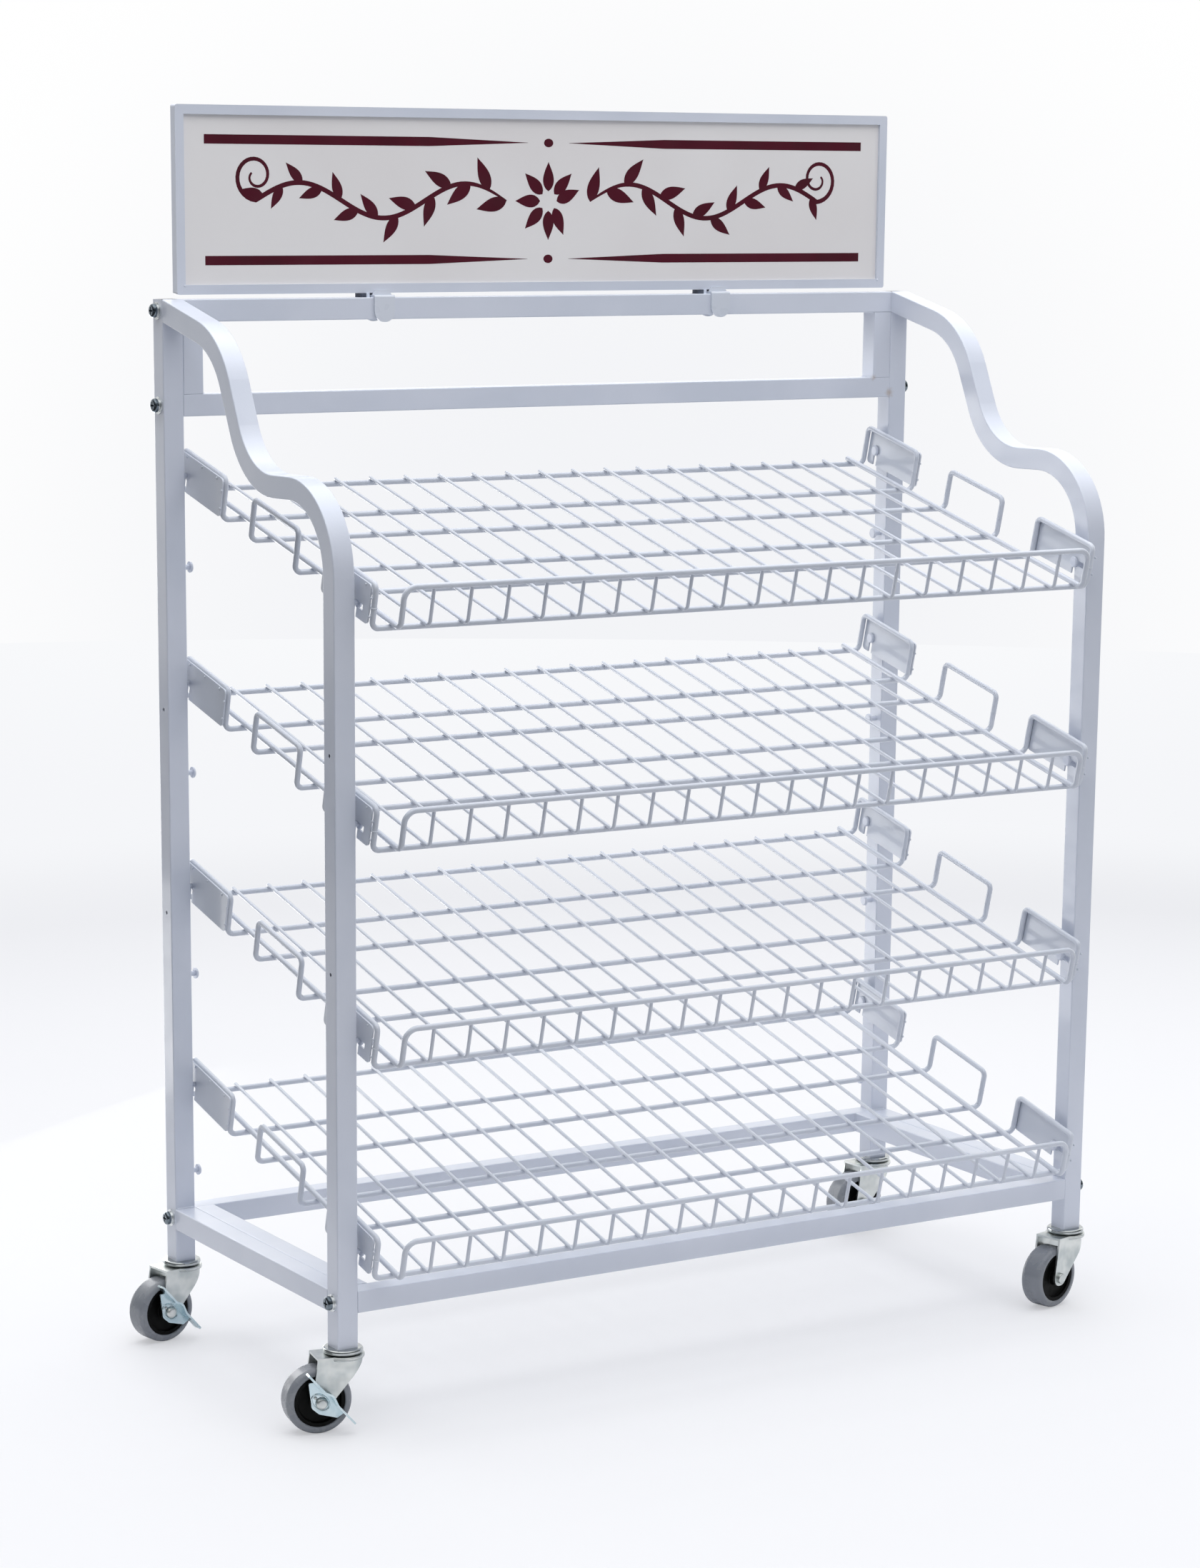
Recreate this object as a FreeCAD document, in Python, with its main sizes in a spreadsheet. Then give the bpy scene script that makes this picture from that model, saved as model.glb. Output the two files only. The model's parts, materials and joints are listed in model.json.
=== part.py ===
import FreeCAD, Part
import math
import os

import Sketcher
from FreeCAD import Placement, Rotation, Vector

# Bakery bread rack: two side frames of square tube, each a straight rear post and a front
# upright that sweeps back to it in an S, joined by a bolted base frame and back frame. Four
# wire shelves hang on headed studs and lift at the back, a framed sign stands on the top
# rail, and the rack rolls on four swivel casters, two of them with brake levers.
#
# Frame: x runs along the width with 0 in the middle, y from the front (-) to the back (+)
# with 0 midway between the posts, z up with 0 on the floor.

os.makedirs("parts", exist_ok=True)
doc = FreeCAD.newDocument("BreadRack")

# Driving sizes, in millimetres and degrees.
SIZES = {
    # side frames
    "rack_width": 1041.0,
    "rack_depth": 438.5,
    "tube_side": 25.4,
    "tube_wall": 1.2,
    "tube_round": 1.4,
    "post_foot": 95.5,
    "base_rail_height": 147.3,
    "top_rail_height": 1214.6,
    "back_frame_height": 131.9,
    # the S of the front uprights, from their own centre line and below the top rail
    "upper_bend_reach": 265.3,
    "upper_bend_drop": 30.1,
    "elbow_reach": 193.8,
    "elbow_drop": 179.6,
    "shoulder_drop": 175.1,
    "upper_bend_radius": 100.0,
    "elbow_radius": 98.0,
    "shoulder_radius": 89.0,
    "trim_allowance": 8.0,
    # fasteners of the frames
    "bolt_diameter": 8.0,
    "bolt_hole_diameter": 8.4,
    "bolt_head_diameter": 16.0,
    "bolt_head_height": 5.0,
    "bolt_head_round": 3.2,
    "recess_span": 8.6,
    "recess_width": 1.9,
    "recess_depth": 2.6,
    "spring_washer_diameter": 14.8,
    "spring_washer_thick": 2.1,
    "spring_washer_split": 1.6,
    "flat_washer_diameter": 20.0,
    "flat_washer_thick": 1.5,
    "washer_hole_diameter": 8.5,
    "nut_length": 12.0,
    "plug_clearance": 0.05,
    "post_cap_thick": 3.0,
    "accessory_hole_diameter": 4.6,
    "accessory_hole_rise": 76.1,
    # shelf studs
    "lowest_stud_height": 202.2,
    "top_bay_height": 292.4,
    "tilt_stud_rise": 105.0,
    "stud_neck_diameter": 6.2,
    "stud_neck_reach": 9.9,
    "stud_head_diameter": 13.0,
    "stud_head_thick": 3.0,
    "stud_head_round": 1.8,
    "stud_hole_clearance": 0.05,
    # wire shelves: depths run forward from the rear wire, heights up from its centre
    "ring_wire": 6.5,
    "cross_wire": 4.3,
    "ring_depth": 110.0,
    "front_hook_inset": 78.015,
    "ear_height": 48.5,
    "ring_bend": 8.0,
    "ear_round": 7.0,
    "shelf_side_gap": 7.25,
    "plate_sheet": 2.0,
    "cross_wire_pitch": 46.8,
    "cross_wire_count": 19,
    "cross_wire_overhang": 3.5,
    "cross_wire_bend": 6.0,
    "lip_overhang": 21.2,
    "lip_height": 46.0,
    "rim_inset": 22.9,
    "rim_bend": 8.0,
    "rim_corner": 14.0,
    "rim_overhang": 4.0,
    # hook plates
    "plate_depth": 109.0,
    "plate_bottom": 4.0,
    "plate_round": 5.0,
    "rear_plate_start": 3.0,
    "front_plate_start": -1.0,
    "rear_hook_depth": 18.8,
    "rear_slot_top": 26.5,
    "front_slot_top": 22.3,
    "slot_clearance": 0.3,
    "slot_width": 7.0,
    "slot_leg_height": 7.1,
    "slot_leg_reach": 13.4,
    "slot_round": 3.2,
    "slot_leg_round": 1.5,
    "slot_heel_round": 2.0,
    # sign
    "sign_width": 985.0,
    "sign_height": 211.5,
    "sign_thick": 11.5,
    "sign_shift": -5.7,
    "sign_gap": 4.9,
    "sign_border": 10.8,
    "sign_round": 3.0,
    "sign_lip": 3.5,
    "sign_rebate": 5.0,
    "panel_thick": 3.0,
    "panel_clearance": 0.5,
    # sign clips and pads
    "clip_spacing": 470.0,
    "clip_width": 27.0,
    "clip_sheet": 2.6,
    "clip_tail": 28.4,
    "clip_round": 13.0,
    "clip_fit": 0.1,
    "clip_lip_width": 19.0,
    "clip_lip_slope": 3.0,
    "clip_lip_height": 8.2,
    "clip_back_height": 26.0,
    "clip_tab_round": 3.0,
    "pad_width": 11.5,
    "pad_depth": 16.0,
    "pad_offset": 14.0,
    "pad_round": 1.0,
    # casters
    "wheel_diameter": 76.2,
    "tread_width": 30.0,
    "tread_round": 6.5,
    "tread_seat_round": 1.5,
    "hub_diameter": 59.0,
    "hub_width": 26.6,
    "hub_boss_diameter": 20.0,
    "hub_dish_depth": 4.0,
    "hub_dish_diameter": 50.0,
    "hub_dish_round": 1.5,
    "hub_edge_round": 0.8,
    "hub_boss_round": 1.0,
    "tread_fit": 0.05,
    "axle_diameter": 8.0,
    "running_clearance": 0.05,
    "side_play": 0.35,
    "caster_trail": 31.0,
    "cup_diameter": 45.6,
    "cup_height": 6.0,
    "cup_round": 2.6,
    "race_diameter": 29.0,
    "race_gap": 0.3,
    "stem_diameter": 10.0,
    "stem_length": 28.0,
    "stem_round": 1.0,
    "socket_length": 30.0,
    "rivet_head_diameter": 16.0,
    "rivet_head_thick": 2.5,
    "fork_top": 88.5,
    "fork_sheet": 2.5,
    "fork_leg_inner": 15.65,
    "fork_nose": 22.0,
    "fork_nose_flat": 0.5,
    "fork_tail": 34.0,
    "fork_tail_lip": 3.0,
    "fork_crown_diameter": 48.6,
    "fork_crown_round": 1.2,
    "fork_brow_inset": 1.5,
    "fork_brow_drop": 5.5,
    "fork_brow_round": 6.0,
    "fork_heel_rise": 3.0,
    "fork_heel_round": 6.0,
    "fork_toe": 9.7,
    "fork_toe_round": 9.4,
    "fork_toe_reach": 6.3,
    "fork_toe_front_round": 8.0,
    "axle_head_diameter": 13.0,
    "axle_head_thick": 4.2,
    "axle_head_round": 1.2,
    "brake_nut_diameter": 14.0,
    "brake_nut_round": 3.6,
    "brake_sheet": 2.4,
    "brake_flange": 12.0,
    "brake_gap": 0.3,
    # brake lever, measured from its axle: back and reach along, rise and drop up and down
    "pedal_top_back": 17.5,
    "pedal_top_rise": 34.5,
    "fold_crest_reach": 1.5,
    "fold_crest_rise": 12.8,
    "fold_brow_reach": 10.0,
    "fold_brow_rise": 9.3,
    "fold_waist_reach": 15.5,
    "fold_waist_drop": 3.0,
    "pedal_end_reach": 35.5,
    "pedal_end_drop": 25.5,
    "fold_bend": 12.0,
    "fold_brow_bend": 8.0,
    "lever_back": 15.0,
    "lever_rise": 24.5,
    "lever_hip_back": 11.5,
    "lever_hip_drop": 5.0,
    "lever_belly_back": 3.0,
    "lever_belly_drop": 12.5,
    "lever_toe_reach": 18.0,
    "lever_toe_drop": 18.5,
    "lever_join_reach": 25.3,
    "lever_round": 2.0,
    "lever_belly_round": 6.0,
    # how far each caster is turned about its post
    "front_left_turn": -11.1,
    "rear_left_turn": 9.6,
    "front_right_turn": 14.4,
    "rear_right_turn": 5.0,
}

sheet = doc.addObject("Spreadsheet::Sheet", "Sizes")
for row, (alias, number) in enumerate(SIZES.items(), start=1):
    sheet.set(f"A{row}", alias)
    sheet.set(f"B{row}", str(number))
    sheet.setAlias(f"B{row}", alias)
doc.recompute()


class Size:
    """A number together with the expression over the sheet's cells that gives it."""

    def __init__(self, number, text):
        self.number = number
        self.text = text

    def __add__(self, other):
        return combine(self, other, "+", self.number + number_of(other))

    def __radd__(self, other):
        return combine(other, self, "+", number_of(other) + self.number)

    def __sub__(self, other):
        return combine(self, other, "-", self.number - number_of(other))

    def __rsub__(self, other):
        return combine(other, self, "-", number_of(other) - self.number)

    def __mul__(self, other):
        return combine(self, other, "*", self.number * number_of(other))

    def __rmul__(self, other):
        return combine(other, self, "*", number_of(other) * self.number)

    def __truediv__(self, other):
        return combine(self, other, "/", self.number / number_of(other))

    def __neg__(self):
        return combine(0, self, "-", -self.number)


def number_of(value):
    """The plain number of a Size, or of a number itself."""
    return value.number if isinstance(value, Size) else float(value)


def text_of(value):
    """The expression of a Size, or the text of a plain number."""
    return value.text if isinstance(value, Size) else repr(float(value))


def combine(left, right, sign, number):
    """The Size that an operation on two values gives."""
    return Size(number, f"({text_of(left)} {sign} {text_of(right)})")


def sine(angle):
    return Size(math.sin(math.radians(angle.number)), f"sin({angle.text})")


def cosine(angle):
    return Size(math.cos(math.radians(angle.number)), f"cos({angle.text})")


def arc_sine(ratio):
    return Size(math.degrees(math.asin(ratio.number)), f"(asin({ratio.text}) / 1 deg)")


def slope_angle(rise, run):
    degrees = math.degrees(math.atan2(rise.number, run.number))
    return Size(degrees, f"(atan2({rise.text}; {run.text}) / 1 deg)")


def root(square):
    return Size(math.sqrt(square.number), f"sqrt({square.text})")


class Dimensions:
    """The sheet's cells by their aliases."""

    def __getattr__(self, alias):
        return Size(float(sheet.get(alias)), f"Sizes.{alias}")


d = Dimensions()


def bind(item, path, size):
    """Ties one property of an object to the sheet."""
    item.setExpression(path, text_of(size))


def place(item, x=0, y=0, z=0, turn=None, axis=Vector(0, 0, 1)):
    """Puts an object at a bound position, turned by a bound angle about an axis."""
    if turn is not None:
        item.Placement = Placement(Vector(), Rotation(axis, abs(turn.number) + 1))
        bind(item, "Placement.Rotation.Angle", turn)
    bind(item, "Placement.Base.x", x)
    bind(item, "Placement.Base.y", y)
    bind(item, "Placement.Base.z", z)


def new_body(label):
    body = doc.addObject("PartDesign::Body", label)
    body.Label = label
    return body


def new_sketch(body, name, plane, shift=(0, 0, 0)):
    """A sketch on one of the body's origin planes, moved by a shift in its own axes."""
    sketch = body.newObject("Sketcher::SketchObject", f"{body.Name}_{name}")
    support = [item for item in body.Origin.OriginFeatures if item.Role == plane][0]
    sketch.AttachmentSupport = (support, [""])
    sketch.MapMode = "FlatFace"
    for axis, distance in zip("xyz", shift):
        bind(sketch, f"AttachmentOffset.Base.{axis}", distance)
    return sketch


def hold(sketch, kind, *where, size):
    """Adds one dimension to a sketch and ties it to the sheet."""
    index = sketch.addConstraint(Sketcher.Constraint(kind, *where, number_of(size)))
    if isinstance(size, Size):
        sketch.setExpression(f"Constraints[{index}]", size.text)


def draw_circle(sketch, across, up, diameter):
    centre = Vector(number_of(across), number_of(up), 0)
    circle = sketch.addGeometry(Part.Circle(centre, Vector(0, 0, 1), number_of(diameter) / 2))
    hold(sketch, "DistanceX", -1, 1, circle, 3, size=across)
    hold(sketch, "DistanceY", -1, 1, circle, 3, size=up)
    hold(sketch, "Diameter", circle, size=diameter)


def draw_runs(sketch, corners, closed=True):
    """Straight runs through corners (across, up, radius), with an arc where radius isn't 0.

    Each corner is a point held at its two distances from the sketch's origin. Both of its
    runs pass through it, and its arc is tangent to them.
    """
    count = len(corners)
    points = [Vector(number_of(across), number_of(up), 0) for across, up, _ in corners]
    run_starts = list(points)
    run_ends = list(points)
    arcs = {}
    for index, (_, _, radius) in enumerate(corners):
        if number_of(radius) == 0:
            continue
        back = (points[index - 1] - points[index]).normalize()
        ahead = (points[(index + 1) % count] - points[index]).normalize()
        half_angle = back.getAngle(ahead) / 2
        reach = number_of(radius) / math.tan(half_angle)
        centre_reach = number_of(radius) / math.sin(half_angle)
        centre = points[index] + (back + ahead).normalize() * centre_reach
        run_ends[index] = points[index] + back * reach
        run_starts[index] = points[index] + ahead * reach
        turns_left = back.cross(ahead).z < 0
        first, last = run_ends[index], run_starts[index]
        if not turns_left:
            first, last = last, first
        circle = Part.Circle(centre, Vector(0, 0, 1), number_of(radius))
        start_angle = math.atan2(first.y - centre.y, first.x - centre.x)
        end_angle = math.atan2(last.y - centre.y, last.x - centre.x)
        arcs[index] = (Part.ArcOfCircle(circle, start_angle, end_angle), turns_left)

    run_count = count if closed else count - 1
    runs = [
        sketch.addGeometry(Part.LineSegment(run_starts[i], run_ends[(i + 1) % count]))
        for i in range(run_count)
    ]
    dimensions = []
    relations = []
    for index, (across, up, radius) in enumerate(corners):
        has_before = closed or index > 0
        has_after = closed or index < count - 1
        before = runs[index - 1] if has_before else None
        after = runs[index] if has_after else None
        if index in arcs:
            arc_shape, turns_left = arcs[index]
            arc = sketch.addGeometry(arc_shape)
            arc_start, arc_end = (1, 2) if turns_left else (2, 1)
            corner = (sketch.addGeometry(Part.Point(points[index]), True), 1)
            relations.append(Sketcher.Constraint("Tangent", before, 2, arc, arc_start))
            relations.append(Sketcher.Constraint("Tangent", arc, arc_end, after, 1))
            relations.append(Sketcher.Constraint("PointOnObject", *corner, before))
            relations.append(Sketcher.Constraint("PointOnObject", *corner, after))
            dimensions.append(("Radius", (arc,), radius))
        elif has_before and has_after:
            relations.append(Sketcher.Constraint("Coincident", before, 2, after, 1))
            corner = (after, 1)
        else:
            corner = (after, 1) if has_after else (before, 2)
        dimensions.append(("DistanceX", (-1, 1, *corner), across))
        dimensions.append(("DistanceY", (-1, 1, *corner), up))
    relations += [
        Sketcher.Constraint(kind, *where, number_of(size)) for kind, where, size in dimensions
    ]
    indices = sketch.addConstraint(relations)
    bound = indices[len(indices) - len(dimensions):]
    for index, (_, _, size) in zip(bound, dimensions):
        if isinstance(size, Size):
            sketch.setExpression(f"Constraints[{index}]", size.text)


def rectangle(left, bottom, right, top, radius=0):
    """The corners of an upright rectangle, all with one radius."""
    return [(left, bottom, radius), (right, bottom, radius), (right, top, radius), (left, top, radius)]


def finish_feature(body, feature, sketch, name):
    feature.Label = f"{body.Label} {name}"
    feature.Profile = sketch
    body.Tip = feature
    return feature


def pad(body, name, sketch, length, symmetric=True, backward=False):
    feature = body.newObject("PartDesign::Pad", f"{body.Name}_{name}_pad")
    finish_feature(body, feature, sketch, name)
    bind(feature, "Length", length)
    if symmetric:
        feature.SideType = "Symmetric"
    feature.Reversed = backward
    return feature


def pocket(body, name, sketch, length=None, symmetric=True, backward=False):
    """A cut through everything, or to a length, against the sketch's normal unless backward."""
    feature = body.newObject("PartDesign::Pocket", f"{body.Name}_{name}_pocket")
    finish_feature(body, feature, sketch, name)
    if length is None:
        feature.Type = "ThroughAll"
    else:
        bind(feature, "Length", length)
    if symmetric:
        feature.SideType = "Symmetric"
    feature.Reversed = backward
    return feature


def revolve(body, name, sketch, axis):
    feature = body.newObject("PartDesign::Revolution", f"{body.Name}_{name}_turned")
    finish_feature(body, feature, sketch, name)
    feature.ReferenceAxis = (sketch, [axis])
    feature.Angle = 360
    return feature


def pipe(body, name, profile, path):
    """Sweeps a profile along every edge of a path sketch."""
    feature = body.newObject("PartDesign::AdditivePipe", f"{body.Name}_{name}_pipe")
    finish_feature(body, feature, profile, name)
    edges = [f"Edge{index + 1}" for index in range(len(path.Shape.Edges))]
    feature.Spine = (path, edges)
    feature.Mode = "Standard"
    return feature


# Places that several pieces share.
half_tube = d.tube_side / 2
half_width = d.rack_width / 2
half_depth = d.rack_depth / 2
post_x = half_width - half_tube
post_y = half_depth - half_tube
post_gap = d.rack_depth - d.tube_side * 2
frame_x = post_x - d.tube_side
frame_length = d.rack_width - d.tube_side * 2
frame_top = d.top_rail_height + half_tube
lower_rail_height = d.top_rail_height - d.back_frame_height + d.tube_side
SIDES = (("left", -1), ("right", 1))

# Each frame bolt sits at the end of a rail: (y, z).
BOLT_PLACES = (
    ("base_front", -post_y, d.base_rail_height),
    ("base_rear", post_y, d.base_rail_height),
    ("back_top", post_y, d.top_rail_height),
    ("back_lower", post_y, lower_rail_height),
)
SHELF_COUNT = 4
ACCESSORY_SHELVES = (1, 2)
highest_stud_height = d.top_rail_height - d.top_bay_height
shelf_pitch = (highest_stud_height - d.lowest_stud_height) / (SHELF_COUNT - 1)


def stud_height(level):
    """The height of the front studs of a shelf, counted from the lowest one."""
    return d.lowest_stud_height + shelf_pitch * level


# ---------------------------------------------------------------- square tube


def draw_tube_section(sketch):
    inner = half_tube - d.tube_wall
    inner_round = d.tube_round - d.tube_wall
    draw_runs(sketch, rectangle(-half_tube, -half_tube, half_tube, half_tube, d.tube_round))
    draw_runs(sketch, rectangle(-inner, -inner, inner, inner, inner_round))


def rail(label, plane, length, x, y, z):
    """A straight tube centred on its place; plane is the one that its section lies in."""
    body = new_body(label)
    section = new_sketch(body, "section", plane)
    draw_tube_section(section)
    pad(body, "tube", section, length)
    place(body, x, y, z)
    return body


def drill(body, name, places, diameter, toward):
    """Round holes along x at (y, z) places, toward one side of the tube, or both if 0."""
    sketch = new_sketch(body, name, "YZ_Plane")
    for across, up in places:
        draw_circle(sketch, across, up, diameter)
    pocket(body, name, sketch, symmetric=toward == 0, backward=toward > 0)


def drill_post(body, side, bolt_heights, stud_heights, hole_heights, foot):
    """The bolt, stud and accessory holes of a post whose foot is at the body's origin."""
    drill(body, "bolt_holes", [(0, z - foot) for z in bolt_heights], d.bolt_hole_diameter, 0)
    stud_hole = d.stud_neck_diameter + d.stud_hole_clearance * 2
    drill(body, "stud_holes", [(0, z - foot) for z in stud_heights], stud_hole, -side)
    outer = [(0, z - foot) for z in hole_heights]
    drill(body, "accessory_holes", outer, d.accessory_hole_diameter, side)


front_studs = [stud_height(level) for level in range(SHELF_COUNT)]
raised_studs = [height + d.tilt_stud_rise for height in front_studs]
accessory_heights = [stud_height(level) + d.accessory_hole_rise for level in ACCESSORY_SHELVES]


def rear_post(side_name, side):
    body = new_body(f"{side_name}_rear_post")
    section = new_sketch(body, "section", "XY_Plane")
    draw_tube_section(section)
    pad(body, "tube", section, frame_top - d.post_foot, symmetric=False)
    bolts = [height for _, y, height in BOLT_PLACES if y.number > 0]
    drill_post(body, side, bolts, front_studs + raised_studs, accessory_heights, d.post_foot)
    place(body, post_x * side, post_y, d.post_foot)


def front_upright(side_name, side):
    """Straight up from the foot, back over the shoulder, up the S and on to the rear post."""
    body = new_body(f"{side_name}_front_upright")
    section = new_sketch(body, "section", "XY_Plane")
    draw_tube_section(section)
    top = d.top_rail_height - d.post_foot
    arm_end = d.rack_depth - d.tube_side - half_tube
    slope = d.upper_bend_drop / (arm_end - d.upper_bend_reach)
    path = new_sketch(body, "path", "YZ_Plane")
    corners = [
        (0, 0, 0),
        (0, top - d.shoulder_drop, d.shoulder_radius),
        (d.elbow_reach, top - d.elbow_drop, d.elbow_radius),
        (d.upper_bend_reach, top - d.upper_bend_drop, d.upper_bend_radius),
        (arm_end + d.trim_allowance, top + slope * d.trim_allowance, 0),
    ]
    draw_runs(path, corners, closed=False)
    doc.recompute()
    pipe(body, "tube", section, path)
    trim = new_sketch(body, "trim", "YZ_Plane")
    beyond = arm_end + d.trim_allowance + d.tube_side
    draw_runs(trim, rectangle(arm_end, top - d.tube_side * 2, beyond, top + d.tube_side * 2))
    pocket(body, "trim", trim)
    bolts = [height for _, y, height in BOLT_PLACES if y.number < 0]
    drill_post(body, side, bolts, front_studs, accessory_heights, d.post_foot)
    place(body, post_x * side, -post_y, d.post_foot)


for side_name, side in SIDES:
    rear_post(side_name, side)
    front_upright(side_name, side)
    rail(f"{side_name}_side_rail", "XZ_Plane", post_gap, post_x * side, 0, d.base_rail_height)

# Base frame: long rails between the posts, short rails inside the side frames' own rails.
rail("base_front_rail", "YZ_Plane", frame_length, 0, -post_y, d.base_rail_height)
rail("base_rear_rail", "YZ_Plane", frame_length, 0, post_y, d.base_rail_height)
for side_name, side in SIDES:
    rail(f"base_{side_name}_rail", "XZ_Plane", post_gap, frame_x * side, 0, d.base_rail_height)

# Back frame: two long rails with short stiles between them.
rail("back_top_rail", "YZ_Plane", frame_length, 0, post_y, d.top_rail_height)
rail("back_lower_rail", "YZ_Plane", frame_length, 0, post_y, lower_rail_height)
stile_length = d.top_rail_height - lower_rail_height - d.tube_side
stile_height = (d.top_rail_height + lower_rail_height) / 2
for side_name, side in SIDES:
    rail(f"back_{side_name}_stile", "XY_Plane", stile_length, frame_x * side, post_y, stile_height)


# ---------------------------------------------------------------- plugs in the tube ends

plug_half = half_tube - d.tube_wall - d.plug_clearance
plug_round = d.tube_round - d.tube_wall


def plug(body, name, plane, shift, length, bore=None, backward=False):
    """A square plug that fills a tube's end, with a round bore if one is given."""
    sketch = new_sketch(body, name, plane, shift)
    draw_runs(sketch, rectangle(-plug_half, -plug_half, plug_half, plug_half, plug_round))
    if bore is not None:
        draw_circle(sketch, 0, 0, bore)
    pad(body, name, sketch, length, symmetric=False, backward=backward)


frame_nuts = new_body("frame_nuts")
for side_name, side in SIDES:
    for name, y, z in BOLT_PLACES:
        shift = (y, z, (half_width - d.tube_side) * side)
        plug(frame_nuts, f"{name}_{side_name}", "YZ_Plane", shift, d.nut_length, d.bolt_diameter, side > 0)

caster_sockets = new_body("caster_sockets")
socket_bore = d.stem_diameter + d.running_clearance * 2
for side_name, side in SIDES:
    for end_name, end in (("front", -1), ("rear", 1)):
        shift = (post_x * side, post_y * end, d.post_foot)
        plug(caster_sockets, f"{end_name}_{side_name}", "XY_Plane", shift, d.socket_length, socket_bore)

post_caps = new_body("post_caps")
for side_name, side in SIDES:
    shift = (post_x * side, post_y, frame_top - d.post_cap_thick)
    plug(post_caps, side_name, "XY_Plane", shift, d.post_cap_thick)


# ---------------------------------------------------------------- bolts, washers and studs


def turned_piece(body, name, outline, y, z):
    """Revolves an outline of (x, radius) corners about the line along x at (y, z)."""
    sketch = new_sketch(body, name, "XY_Plane", (0, y, z))
    draw_runs(sketch, [(x, up, radius) for x, up, radius in outline])
    revolve(body, name, sketch, "H_Axis")


def flat_ring(body, name, x, y, z, outer, inner, thick, backward):
    sketch = new_sketch(body, name, "YZ_Plane", (y, z, x))
    draw_circle(sketch, 0, 0, outer)
    draw_circle(sketch, 0, 0, inner)
    pad(body, name, sketch, thick, symmetric=False, backward=backward)


frame_bolts = new_body("frame_bolts")
spring_washers = new_body("spring_washers")
flat_washers = new_body("flat_washers")
under_head = half_width + d.flat_washer_thick + d.spring_washer_thick
head_face = under_head + d.bolt_head_height
bolt_tip = half_width - d.tube_side - d.nut_length
shank = d.bolt_diameter / 2 - d.plug_clearance
half_head = d.bolt_head_diameter / 2
for side_name, side in SIDES:
    for name, y, z in BOLT_PLACES:
        label = f"{name}_{side_name}"
        outline = [
            (bolt_tip * side, 0, 0),
            (bolt_tip * side, shank, 0),
            (under_head * side, shank, 0),
            (under_head * side, half_head, 0),
            (head_face * side, half_head, d.bolt_head_round),
            (head_face * side, 0, 0),
        ]
        turned_piece(frame_bolts, label, outline, y, z)
        cross = new_sketch(frame_bolts, f"{label}_recess", "YZ_Plane", (y, z, head_face * side))
        arm = d.recess_span / 2
        wide = d.recess_width / 2
        draw_runs(
            cross,
            [
                (arm, -wide, 0), (arm, wide, 0), (wide, wide, 0), (wide, arm, 0),
                (-wide, arm, 0), (-wide, wide, 0), (-arm, wide, 0), (-arm, -wide, 0),
                (-wide, -wide, 0), (-wide, -arm, 0), (wide, -arm, 0), (wide, -wide, 0),
            ],
        )
        pocket(frame_bolts, f"{label}_recess", cross, d.recess_depth, False, side < 0)
        flat_ring(flat_washers, label, half_width * side, y, z, d.flat_washer_diameter,
                  d.washer_hole_diameter, d.flat_washer_thick, side < 0)
        on_flat = (half_width + d.flat_washer_thick) * side
        flat_ring(spring_washers, label, on_flat, y, z, d.spring_washer_diameter,
                  d.washer_hole_diameter, d.spring_washer_thick, side < 0)
        split = new_sketch(spring_washers, f"{label}_split", "YZ_Plane", (y, z, on_flat))
        half_split = d.spring_washer_split / 2
        draw_runs(split, rectangle(-half_split, 0, half_split, d.spring_washer_diameter))
        pocket(spring_washers, f"{label}_split", split, d.spring_washer_thick * 4)

# Studs: a neck through the post's inner wall and a flat head that keeps the plate on it.
shelf_studs = new_body("shelf_studs")
stud_root = half_width - d.tube_side + d.tube_wall
stud_head_start = half_width - d.tube_side - d.stud_neck_reach
stud_head_end = stud_head_start - d.stud_head_thick
neck = d.stud_neck_diameter / 2
stud_head = d.stud_head_diameter / 2
STUD_COLUMNS = (
    ("front", -post_y, front_studs[0]),
    ("rear", post_y, front_studs[0]),
    ("raised", post_y, raised_studs[0]),
)
for side_name, side in SIDES:
    for name, y, z in STUD_COLUMNS:
        label = f"{name}_{side_name}"
        outline = [
            (stud_root * side, 0, 0),
            (stud_root * side, neck, 0),
            (stud_head_start * side, neck, 0),
            (stud_head_start * side, stud_head, 0),
            (stud_head_end * side, stud_head, d.stud_head_round),
            (stud_head_end * side, 0, 0),
        ]
        turned_piece(shelf_studs, label, outline, y, z)
        first = shelf_studs.Tip
        column = shelf_studs.newObject("PartDesign::LinearPattern", f"column_{label}")
        column.Originals = [first]
        upward = [item for item in shelf_studs.Origin.OriginFeatures if item.Role == "Z_Axis"][0]
        column.Direction = (upward, [""])
        bind(column, "Length", shelf_pitch * (SHELF_COUNT - 1))
        column.Occurrences = SHELF_COUNT
        shelf_studs.Tip = column


# ---------------------------------------------------------------- wire shelves
#
# A shelf is drawn level in its own frame, with the rear wire's centre line on its x axis,
# y pointing back and z up. It is then tilted about x so that both hooks sit on their studs.

stud_run = d.rack_depth - d.tube_side
stud_distance = root(stud_run * stud_run + d.tilt_stud_rise * d.tilt_stud_rise)
seat = neck + d.slot_clearance
rear_hook_height = d.rear_slot_top - seat
front_hook_height = d.front_slot_top - seat
hook_fall = rear_hook_height - front_hook_height
shelf_tilt = slope_angle(d.tilt_stud_rise, stud_run) - arc_sine(hook_fall / stud_distance)
front_hook_depth = d.rear_hook_depth + root(stud_distance * stud_distance - hook_fall * hook_fall)

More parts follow.
